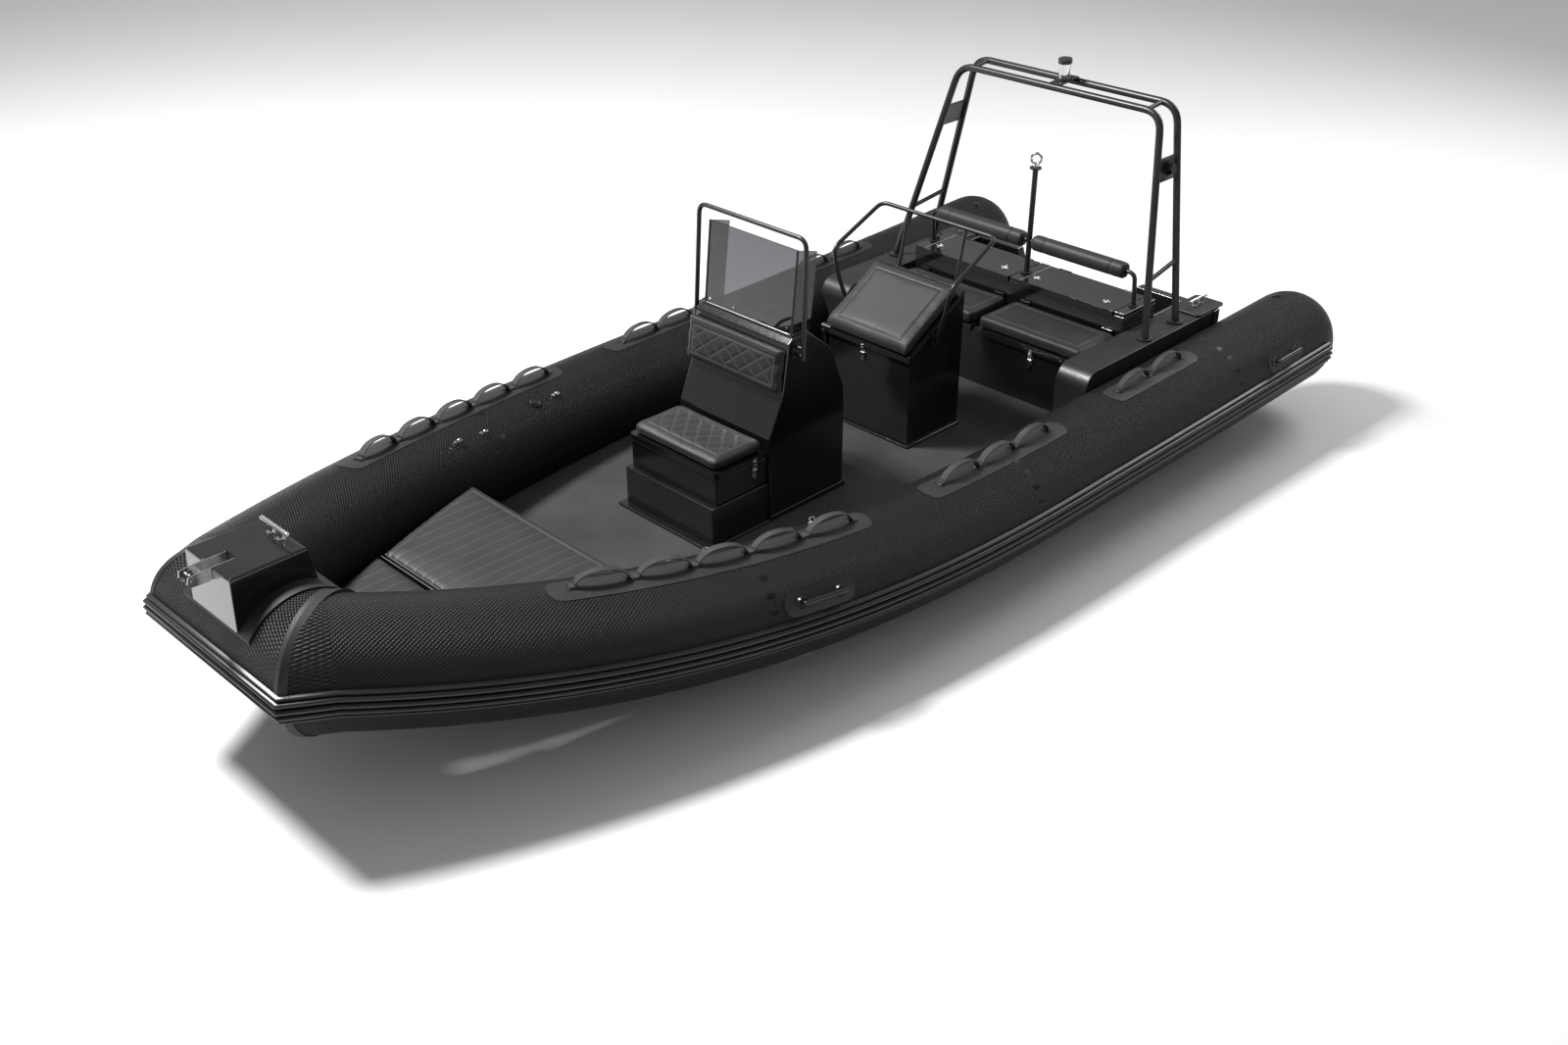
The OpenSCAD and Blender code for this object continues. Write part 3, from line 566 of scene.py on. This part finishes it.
def wrapped(bm, y0, y1, mid, half, thick=0.002, corner=0.05):
    """A flat grid wrapped on the port tube as a strip with rounded ends."""
    sheet = bmesh.ops.create_grid(bm, x_segments=max(8, int((y1 - y0) / 0.014)), y_segments=8, size=0.5)["verts"]
    for v in sheet:
        y = y0 + (v.co.x + 0.5) * (y1 - y0)
        near = min(y - y0, y1 - y)
        bite = corner - math.sqrt(max(0.0, corner**2 - max(0.0, corner - near) ** 2)) if near < corner else 0.0
        v.co = on_collar(y, math.radians(mid) + v.co.y * 2 * (half - bite) / TUBE_R, thick)
    faces = list({f for v in sheet for f in v.link_faces})
    bmesh.ops.recalc_face_normals(bm, faces=faces)
    bmesh.ops.solidify(bm, geom=faces, thickness=thick)


for side, label in ((1, "port"), (-1, "starboard")):
    strips = bmesh.new()
    for y0, y1 in ((-1.66, -0.25), (0.08, 1.03), (1.42, 2.12)):
        wrapped(strips, y0, y1, 88, 0.066)
    for y in (-0.655, 2.700):
        wrapped(strips, y - 0.165, y + 0.165, 26, 0.052)
    piece(mirrored(strips) if side < 0 else strips, f"{label}_handle_patches", patch_cloth)
    seams = bmesh.new()
    for y in (-0.86, 0.62, 2.28):
        wrapped(seams, y - 0.017, y + 0.017, 90, 0.30, 0.0012, 0.004)
    wrapped(seams, -2.1, 3.0, 200, 0.05, 0.0015, 0.02)
    piece(mirrored(seams) if side < 0 else seams, f"{label}_collar_seams", tube_cloth)
print("tapes, strake and patches made")

# %% [markdown]
# ## Webbing grab handles
# Each handle is a flat strap that leaves the tube, arches over a hand's thickness and comes down again,
# with a glued pad over both ends. The strap keeps its width all the way, so a flat outline is swept along
# the arch; its ribs follow the unrolled length.

# %% Straps and pads
GRIPS = [-1.453, -1.205, -0.960, -0.709, -0.445, 0.321, 0.570, 0.820, 1.629, 1.909]
REACH = [0, 0.25, 0.45, 0.62, 0.76, 0.86, 0.92, 0.96, 0.985, 1]
STEPS = [-s for s in reversed(REACH[1:])] + REACH
flat_strap = [(-0.0155, -0.0014), (-0.0165, 0), (-0.0155, 0.0026), (0, 0.0034),
              (0.0155, 0.0026), (0.0165, 0), (0.0155, -0.0014), (0, -0.0018)]
HALF_PAD = Vector((0.021, 0.023, 0.0032))
for side, label in ((1, "port"), (-1, "starboard")):
    straps, pads = bmesh.new(), bmesh.new()
    for y in GRIPS:
        start, finish = on_collar(y - 0.05, math.pi / 2), on_collar(y + 0.05, math.pi / 2)
        go, top = (finish - start).normalized(), on_collar(y, math.pi / 2)
        line = [top + go * (0.1125 * s) + UP * (0.009 + 0.053 * max(0.0, 1 - abs(s) ** 2.3) ** 0.62) for s in STEPS]
        line = [top - go * 0.134 + UP * 0.008] + line + [top + go * 0.134 + UP * 0.008]
        sweep(straps, places_along(line, 1.0), outline=flat_strap)
        aside = go.cross(UP).normalized()
        tilt = Matrix((aside, go, aside.cross(go))).transposed().to_4x4()
        for s in (-1, 1):
            middle_of = top + go * (0.117 * s) + UP * 0.0042
            block(pads, middle_of - HALF_PAD, middle_of + HALF_PAD, 0.0028, tilt)
    rows = (straps, "handle_straps", webbing, [f"{label}_grab_handles"]), (pads, "handle_pads", black_rubber, [])
    for shape, name, finish, stood in rows:
        if side < 0:
            mirrored(shape)
        piece(shape, f"{label}_{name}", finish, stands_for=stood, sharp=45)
print("handles:", len(GRIPS), "a side")

# %% [markdown]
# ## Mouldings
# The console, the boxes under the seats, the lids, the aft ledge and the bow step are gloss black
# mouldings. The drawn solids have the right planes; what changes here is only the radius of their edges
# and how their faces are shaded. Bent pipes are merged copies with a radius of zero, and shade as round.

# %% Soft edges
GLOSS_EDGES = {
    "console_body": 0.012, "front_seat_box": 0.008, "front_seat_lid": 0.005, "helm_seat_box": 0.004,
    "helm_seat_lid": 0.002, "bench_box": 0.004, "port_bench_lid": 0.002, "starboard_bench_lid": 0.002,
    "aft_ledge": 0.004, "port_hatch": 0.0025, "starboard_hatch": 0.0025, "bow_step": 0.006, "bow_locker": 0.003,
    "transom": 0.006, "engine_well": 0.003,
}
SATIN_EDGES = {"side_decks": 0.008, "stern_platforms": 0.004}
STEEL_EDGES = {"roller_bracket": 0.001}
PIPES = dict.fromkeys(("arch", "console_rail", "helm_rail", "backrest_frame"), 0)
for finish, radii in (
    (gloss_black, GLOSS_EDGES), (satin_moulding, SATIN_EDGES), (stainless, STEEL_EDGES), (powder_coat, PIPES),
):
    for node, radius in radii.items():
        moulded(node, finish, radius)
KEPT = {
    "hull": gloss_black, "deck": deck_nonskid, "bow_pad": patch_cloth, "bow_roller": black_rubber,
    "bow_cleat": stainless, "carry_handles": black_rubber, "bow_locker_lid": gloss_black, "windscreen": tinted,
    "steering_wheel": black_rubber, "throttle": black_rubber, "stern_cleats": stainless, "side_vents": stainless,
    "tow_mast": powder_coat, "nav_lights": black_rubber, "masthead_light": lens_clear,
}
for node, finish in KEPT.items():
    solid = frame["nodes"][node]
    solid.data.materials.clear()
    solid.data.materials.append(finish)
print("kept as drawn:", ", ".join(KEPT))

# %% [markdown]
# ## Cushions
# A cushion is foam in a sewn vinyl cover: it crowns a little, its sides swell, and the sewn channels pull
# it down. The drawn block, made slightly smaller, is remeshed into an even skin, blown up as cloth for
# twenty frames with no gravity, and held to a few millimetres of swell. Only then are the seams pressed
# in, because remeshing would wipe them out.

# %% Even skins, blown up as cloth
SLOPE = Vector((0, -0.5, 0.866)).normalized()
FACE = Vector((0, -math.cos(math.radians(8.2)), math.sin(math.radians(8.2))))
PADS = {  # node: facing, voxel, shrink, largest swell
    "bow_cushion": (UP, 0.016, 0.003, 0.009), "forward_cushion": (UP, 0.016, 0.003, 0.009),
    "front_seat_cushion": (UP, 0.013, 0.002, 0.008), "helm_seat_cushion": (SLOPE, 0.014, 0.002, 0.008),
    "port_bench_cushion": (UP, 0.015, 0.002, 0.008), "starboard_bench_cushion": (UP, 0.015, 0.002, 0.008),
    "console_pad": (FACE, 0.012, 0.002, 0.006), "backrest_rolls": (None, 0.014, 0.001, 0.004),
}


def baked(obj):
    """Applies the object's modifiers to its mesh."""
    bpy.context.view_layer.update()
    fresh = bpy.data.meshes.new_from_object(obj.evaluated_get(bpy.context.evaluated_depsgraph_get()))
    obj.modifiers.clear()
    obj.data = fresh


skins = {}
for node, (facing, voxel, shrink, swell) in PADS.items():
    bm = drawn(node)
    low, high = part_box(node)
    middle_of, span = (low + high) / 2, high - low
    if node == "backrest_rolls":
        bmesh.ops.recalc_face_normals(bm, faces=bm.faces)
    else:
        smaller = Matrix.Diagonal((*((s - 2 * shrink) / s for s in span), 1))
        smaller = Matrix.Translation(middle_of) @ smaller @ Matrix.Translation(-middle_of)
        bmesh.ops.transform(bm, matrix=smaller, verts=bm.verts)
    mesh = bpy.data.meshes.new(node + "_skin")
    bm.to_mesh(mesh)
    bm.free()
    made = bpy.data.objects.new(node + "_padded", mesh)
    bpy.context.scene.collection.objects.link(made)
    even = made.modifiers.new("even skin", "REMESH")
    even.mode, even.voxel_size = "VOXEL", voxel
    baked(made)
    skins[node] = made
before = {node: [v.co.copy() for v in made.data.vertices] for node, made in skins.items()}
for made in skins.values():
    cloth = made.modifiers.new("cloth", "CLOTH").settings
    cloth.quality, cloth.mass = 3, 0.3
    cloth.use_pressure, cloth.uniform_pressure_force = True, 4.0
    cloth.effector_weights.gravity = 0
for step in range(1, 21):
    bpy.context.scene.frame_set(step)
for made in skins.values():
    baked(made)
bpy.context.scene.frame_set(1)
print("skins:", {node: len(made.data.vertices) for node, made in skins.items()})

# %% Hold the swell, then smooth
for node, (facing, voxel, shrink, swell) in PADS.items():
    made = skins[node]
    floor_level = min(facing.dot(v.co) for v in frame["nodes"][node].data.vertices) if facing else None
    for v, was in zip(made.data.vertices, before[node]):
        moved = v.co - was
        spot = was + moved * min(1.0, swell / max(moved.length, 1e-9))
        if facing:
            spot += facing * max(0.0, floor_level + 0.001 - facing.dot(spot))
        v.co = spot
    bm = bmesh.new()
    bm.from_mesh(made.data)
    bmesh.ops.smooth_vert(bm, verts=bm.verts, factor=0.5, use_axis_x=True, use_axis_y=True, use_axis_z=True)
    bm.to_mesh(made.data)
    bm.free()
    made.modifiers.new("finer", "SUBSURF").levels = 2
    baked(made)
print("after smoothing:", sum(len(made.data.polygons) for made in skins.values()), "faces")


# %% Sewn borders, channels and quilting


def groove(distance, width):
    return math.exp(-((distance / width) ** 2))


def stitched(made, node, facing, across, border, lines, depth=0.003, width=0.006, skip=None):
    """Presses a border and rows of stitching into the face of a pad and marks them for the seam colour: a pale
    thread, or painted shade in the sewn groove.
    """
    sideways = across.normalized()
    upward = facing.cross(sideways).normalized()
    flat = [Vector((v.co.dot(sideways), v.co.dot(upward))) for v in frame["nodes"][node].data.vertices]
    outline = [flat[i] for i in convex_hull_2d(flat)]
    middle_of = sum(outline, Vector((0, 0))) / len(outline)
    edges = []
    for a, b in zip(outline, outline[1:] + outline[:1]):
        if (b - a).length > 1e-6:
            inward = Vector((a.y - b.y, b.x - a.x)).normalized()
            if inward.dot(middle_of - a) < 0:
                inward = -inward
            if not skip or not skip(inward):
                edges.append((a, inward))
    spots = [v.co.copy() for v in made.data.vertices]
    normals = [v.normal.copy() for v in made.data.vertices]
    values = []
    for spot, normal in zip(spots, normals):
        faces_out = min(1.0, max(0.0, (normal.dot(facing) - 0.55) / 0.3))
        here = Vector((spot.dot(sideways), spot.dot(upward)))
        inside = min((here - a).dot(inward) for a, inward in edges)
        sunk = groove(inside - border, width)
        thread_and_groove_shade = groove(inside - border, 0.0036)
        if inside > border:
            for turn, step in lines:
                c = math.cos(turn) * (here.x - middle_of.x) + math.sin(turn) * (here.y - middle_of.y)
                off = abs((c / step + 0.5) % 1 - 0.5) * step
                sunk = max(sunk, 0.75 * groove(off, width))
                thread_and_groove_shade = max(thread_and_groove_shade, 0.8 * groove(off, 0.003))
            sunk -= 0.25 * min(1.0, (inside - border) / 0.03)
        spot -= facing * (depth * sunk * faces_out)
        values.append(thread_and_groove_shade * faces_out)
    press(made, spots, values)


def press(made, spots, values):
    """Writes the moved points and the thread's mark in one go."""
    made.data.vertices.foreach_set("co", [c for spot in spots for c in spot])
    made.data.attributes.new("seam", "FLOAT", "POINT").data.foreach_set("value", values)
    made.data.update()


def finish_pad(node, material):
    made = skins[node]
    made.data.materials.clear()
    made.data.materials.append(material)
    made.data.shade_smooth()
    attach(made, BODY[node])
    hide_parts(node)
    print(made.name, len(made.data.polygons), "faces")


ACROSS = Vector((1, 0, 0))
stitched(skins["bow_cushion"], "bow_cushion", UP, ACROSS, 0.05, [(0.0, 0.064)], skip=lambda n: n.y > 0.9)
stitched(skins["forward_cushion"], "forward_cushion", UP, ACROSS, 0.045, [(0.0, 0.064)], skip=lambda n: n.y < -0.9)
quilt = [(math.radians(turn), 0.062) for turn in (38, -38)]
stitched(skins["front_seat_cushion"], "front_seat_cushion", UP, ACROSS, 0.055, quilt)
quilt = [(math.radians(turn), 0.060) for turn in (52, -52)]
stitched(skins["console_pad"], "console_pad", FACE, ACROSS, 0.042, quilt)
stitched(skins["helm_seat_cushion"], "helm_seat_cushion", SLOPE, ACROSS, 0.062, [])
for node in ("port_bench_cushion", "starboard_bench_cushion"):
    stitched(skins[node], node, UP, ACROSS, 0.055, [])
ROLL_Y, ROLL_Z, SEAM_IN = 2.190, 0.920, 0.085
rolls = skins["backrest_rolls"]
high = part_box("backrest_rolls")[1]
# The rolls' seam mark takes the plain vinyl's near-black seam colour: painted shade in the ring grooves.
spots, values = [v.co.copy() for v in rolls.data.vertices], []
for spot in spots:
    off = min(abs(abs(spot.x) - (0.029 + SEAM_IN)), abs(abs(spot.x) - (high.x - SEAM_IN)))
    values.append(0.9 * groove(off, 0.004))
    inward = Vector((spot.x, ROLL_Y, ROLL_Z)) - spot
    if inward.length > 0.03:
        spot += inward.normalized() * (0.0022 * groove(off, 0.006))
press(rolls, spots, values)
for node in ("bow_cushion", "forward_cushion", "front_seat_cushion", "console_pad", "port_bench_cushion",
             "starboard_bench_cushion"):
    finish_pad(node, light_thread)
# The helm seat and the rolls get near-black seams: painted shade in the sewn grooves.
finish_pad("helm_seat_cushion", vinyl)
finish_pad("backrest_rolls", vinyl)

# %% [markdown]
# ## Latches, screws, lenses and other fittings
# Small bright fittings give the eye its scale. Each latch is built flat in its own axes, with X to the
# side, Y up and Z out of the face, then placed. The hook rides on the lid and the lever stays on the box,
# so they part when the lid lifts.

# %% Toggle latches


def facing_out(at, out, up):
    """A placing matrix for a fitting on a face: Y up, Z out of the face."""
    out = Vector(out).normalized()
    side = Vector(up).cross(out).normalized()
    return Matrix.Translation(at) @ Matrix((side, out.cross(side), out)).transposed().to_4x4()


def latch(name, lever_at, hook_at, out, up, lid):
    lever, hook = bmesh.new(), bmesh.new()
    block(lever, (-0.013, -0.064, 0), (0.013, -0.020, 0.0035), 0.001)
    block(lever, (-0.008, -0.076, 0.0045), (0.008, -0.030, 0.0085), 0.0015)
    stick(lever, (-0.012, -0.032, 0.008), (0.012, -0.032, 0.008), 0.0035, segments=12)
    for s in (-1, 1):
        stick(lever, (0.0105 * s, -0.032, 0.008), (0.0105 * s, -0.004, 0.009), 0.0017, segments=10)
    stick(lever, (-0.0105, -0.004, 0.009), (0.0105, -0.004, 0.009), 0.0017, segments=10)
    for x, y in ((-0.009, -0.024), (0.009, -0.024), (-0.010, -0.060), (0.010, -0.060)):
        stick(lever, (x, y, 0.0035), (x, y, 0.0045), 0.0024, segments=10)
    block(hook, (-0.012, 0.0, 0), (0.012, 0.018, 0.0022), 0.0008)
    block(hook, (-0.007, 0.001, 0.0022), (0.007, 0.005, 0.008), 0.0008)
    for x in (-0.008, 0.008):
        stick(hook, (x, 0.013, 0.0022), (x, 0.013, 0.0034), 0.0024, segments=10)
    for shape, at, part, body in ((lever, lever_at, "lever", "boat"), (hook, hook_at, "hook", lid)):
        bmesh.ops.transform(shape, matrix=facing_out(at, out, up), verts=shape.verts)
        piece(shape, f"{name}_{part}", stainless, body)


latch("front_seat_latch", (0.2842, -0.183, 0.564), (0.2902, -0.183, 0.572), (1, 0, 0), UP, BODY["front_seat_lid"])
latch("helm_seat_latch", (-0.034, 0.9045, 0.694), (-0.034, 0.8895, 0.704), (0, -1, 0), UP, BODY["helm_seat_lid"])
for s, label in ((1, "port"), (-1, "starboard")):
    x = 0.385 * s
    latch(f"{label}_bench_latch", (x, 1.7478, 0.516), (x, 1.7388, 0.5215), (0, -1, 0), UP, BODY[f"{label}_bench_lid"])
HATCH_TOP = 0.733
for label, spots in (("port", ((0.542, 2.162), (0.086, 2.168))), ("starboard", ((-0.598, 2.171), (-0.135, 2.169)))):
    turns = bmesh.new()
    for x, y in spots:
        stick(turns, (x, y, HATCH_TOP), (x, y, HATCH_TOP + 0.0032), 0.021)
        hoop(turns, (x, y, HATCH_TOP + 0.0032), UP, 0.0185, 0.002)
        block(turns, (x - 0.015, y - 0.0035, HATCH_TOP + 0.003), (x + 0.015, y + 0.0035, HATCH_TOP + 0.0085), 0.0015)
    piece(turns, f"{label}_hatch_latches", stainless, BODY[f"{label}_hatch"])
print("latches placed")

# %% Windscreen screws and trim
GLASS_LEAN, GLASS_FOOT, SCREW_Z = 38 / 386, 1.109, 1.134
screws, trim = bmesh.new(), bmesh.new()
for x in (-0.245, -0.09, 0.09, 0.245):
    y = 0.060 + (SCREW_Z - GLASS_FOOT) * GLASS_LEAN
    stick(screws, (x, y, SCREW_Z), (x, y - 0.0035, SCREW_Z), 0.0075, 0.006, segments=16)
stick(screws, (-0.268, 0.0585, 1.1105), (0.268, 0.0585, 1.1105), 0.0035, segments=10)
piece(screws, "windscreen_screws", stainless)
for s in (-1, 1):
    stick(trim, (0.2755 * s, 0.0605, GLASS_FOOT), (0.2755 * s, 0.0985, 1.495), 0.0055, segments=12)
piece(trim, "windscreen_corner_trim", black_rubber)

# %% Fittings on the tubes
for side, label in ((1, "port"), (-1, "starboard")):
    rings, valves = bmesh.new(), bmesh.new()
    for y, turn in ((-1.105, 125), (-0.94, 128), (-0.42, 123)):
        turn = math.radians(turn)
        go = collar_at(y)[2]
        out = (on_collar(y, turn, 0.01) - on_collar(y, turn)).normalized()
        at = on_collar(y, turn, 0.0005)
        for s in (-1, 1):
            stick(rings, at + go * (0.016 * s), at + go * (0.016 * s) + out * 0.004, 0.010, 0.008, segments=16)
        hoop(rings, at + out * 0.006, go.cross(out), 0.013, 0.0032, segments=24, sides=8)
    for y, turn, size in ((-0.56, 122, 0.030), (0.445, 90, 0.022), (3.06, 104, 0.026)):
        turn = math.radians(turn)
        at = on_collar(y, turn)
        out = (on_collar(y, turn, 0.01) - at).normalized()
        stick(valves, at - out * 0.002, at + out * 0.0045, size, size * 0.93, segments=32)
        stick(valves, at + out * 0.0045, at + out * 0.008, size * 0.62, size * 0.55, segments=24)
        hoop(valves, at + out * 0.0045, out, size * 0.8, 0.0022)
    rows = (rings, "tube_rings", stainless, "stainless"), (valves, "tube_valves", black_rubber, "soft_plastic")
    for shape, name, finish, slot in rows:
        piece(mirrored(shape) if side < 0 else shape, f"{label}_{name}", finish)
print("tube fittings placed")

# %% Vents, tow ring, feet and bolts
inside, slats, steel_ring, bolts = (bmesh.new() for _ in range(4))
VENT_Y, VENT_Z = 1.592, 0.5
for s in (-1, 1):
    stick(inside, (0.7056 * s, VENT_Y, VENT_Z), (0.7046 * s, VENT_Y, VENT_Z), 0.0515, segments=40)
    for drop in (-0.03, -0.015, 0, 0.015, 0.03):
        half = Vector((0.0018, math.sqrt(0.050**2 - drop**2), 0.0025))
        at = Vector((0.7032 * s, VENT_Y, VENT_Z + drop))
        block(slats, at - half, at + half, 0.0006)
hoop(steel_ring, (0, 2.190, 1.373), (0.5, -0.866, 0), 0.027, 0.0070, segments=40, sides=14)
stick(steel_ring, (0, 2.190, 1.3262), (0, 2.190, 1.3464), 0.0124)
FEET, FOOT_TOP = [(0.843, 2.084), (0.831, 2.387)], 0.6483
for x, y in FEET:
    for s in (-1, 1):
        for turn in (30, 150, 270):
            a = math.radians(turn)
            at = Vector((x * s + 0.032 * math.cos(a), y + 0.032 * math.sin(a), FOOT_TOP))
            stick(bolts, at, at + UP * 0.0045, 0.006, segments=6)
piece(inside, "vent_insides", black_rubber)
piece(slats, "vent_slats", black_rubber)
piece(steel_ring, "tow_ring_steel", stainless)
piece(bolts, "arch_foot_bolts", stainless)

# %% Lamps
for s, label, lens in ((1, "port", lens_red), (-1, "starboard", lens_green)):
    band = bmesh.new()
    foot = Vector((0.6977 * s, 2.3432, 1.446))
    way = Vector((0.982 * s, 0, 0.189))
    stick(band, foot + way * 0.012, foot + way * 0.030, 0.0320, 0.0277, segments=36)
    piece(band, f"{label}_nav_lens", lens)
lamp_turn = Matrix.Translation((0, 2.379, 1.7482)) @ Matrix.Rotation(math.radians(5.23), 4, "X")
lamp = bmesh.new()
block(lamp, (-0.0385, -0.0785, -0.0003), (0.0385, 0.0785, 0.0054), 0.002)
stick(lamp, (0, 0, 0.0052), (0, 0, 0.0194), 0.0406, 0.0400, segments=40)
stick(lamp, (0, 0, 0.0926), (0, 0, 0.1130), 0.0366, 0.0366, segments=40)
stick(lamp, (0, 0, 0.1130), (0, 0, 0.1158), 0.0366, 0.0300, segments=40)
bmesh.ops.transform(lamp, matrix=lamp_turn, verts=lamp.verts)
piece(lamp, "masthead_cap_and_base", satin_moulding)

# %% Helm instruments, and cushion piping coloured pale as a painted highlight
dash, dials, bezels = bmesh.new(), bmesh.new(), bmesh.new()
sloping = Vector((0, 0.634, 0.773))
for x, size in ((-0.19, 0.042), (-0.075, 0.052), (0.045, 0.042)):
    at = Vector((x, 0.225, 1.0465))
    stick(dials, at - sloping * 0.001, at + sloping * 0.003, size, segments=36)
    hoop(bezels, at + sloping * 0.003, sloping, size, 0.004)
panel_at = Vector((0.165, 0.225, 1.0465))
tilt = Matrix((Vector((1, 0, 0)), sloping.cross(Vector((1, 0, 0))), sloping)).transposed().to_4x4()
block(dash, panel_at - Vector((0.055, 0.045, 0.002)), panel_at + Vector((0.055, 0.045, 0.002)), 0.0015, tilt)
for i in range(4):
    key = panel_at + sloping * 0.004 + Vector((-0.036 + 0.024 * i, 0, 0))
    block(dash, key - Vector((0.008, 0.016, 0.003)), key + Vector((0.008, 0.016, 0.003)), 0.0015, tilt)
piece(dash, "switch_panel", black_rubber)
piece(dials, "dial_faces", satin_moulding)
piece(bezels, "dial_bezels", stainless)
hub = bmesh.new()
RAKE = math.radians(67.8)
centre, tilted = Vector((-0.095, 0.411, 0.898)), Vector((0, math.sin(RAKE), math.cos(RAKE)))
stick(hub, centre + tilted * 0.013, centre + tilted * 0.019, 0.034, 0.026, segments=36)
piece(hub, "wheel_hub_cap", stainless, BODY["steering_wheel"])
# Two cords at the split between the bow cushions, coloured pale as a painted highlight on the cushion edges.
low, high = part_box("forward_cushion")
for name, y, body in (("forward_piping", -1.7500, "boat"), ("bow_piping", -1.7310, BODY["bow_cushion"])):
    cord = bmesh.new()
    stick(cord, (low.x + 0.035, y, 0.4905), (high.x - 0.035, y, 0.4905), 0.0028, segments=10)
    piece(cord, name, piping_with_painted_highlight, body)
print("details done")

# %% Bring the scene up to date
bpy.context.view_layer.update()
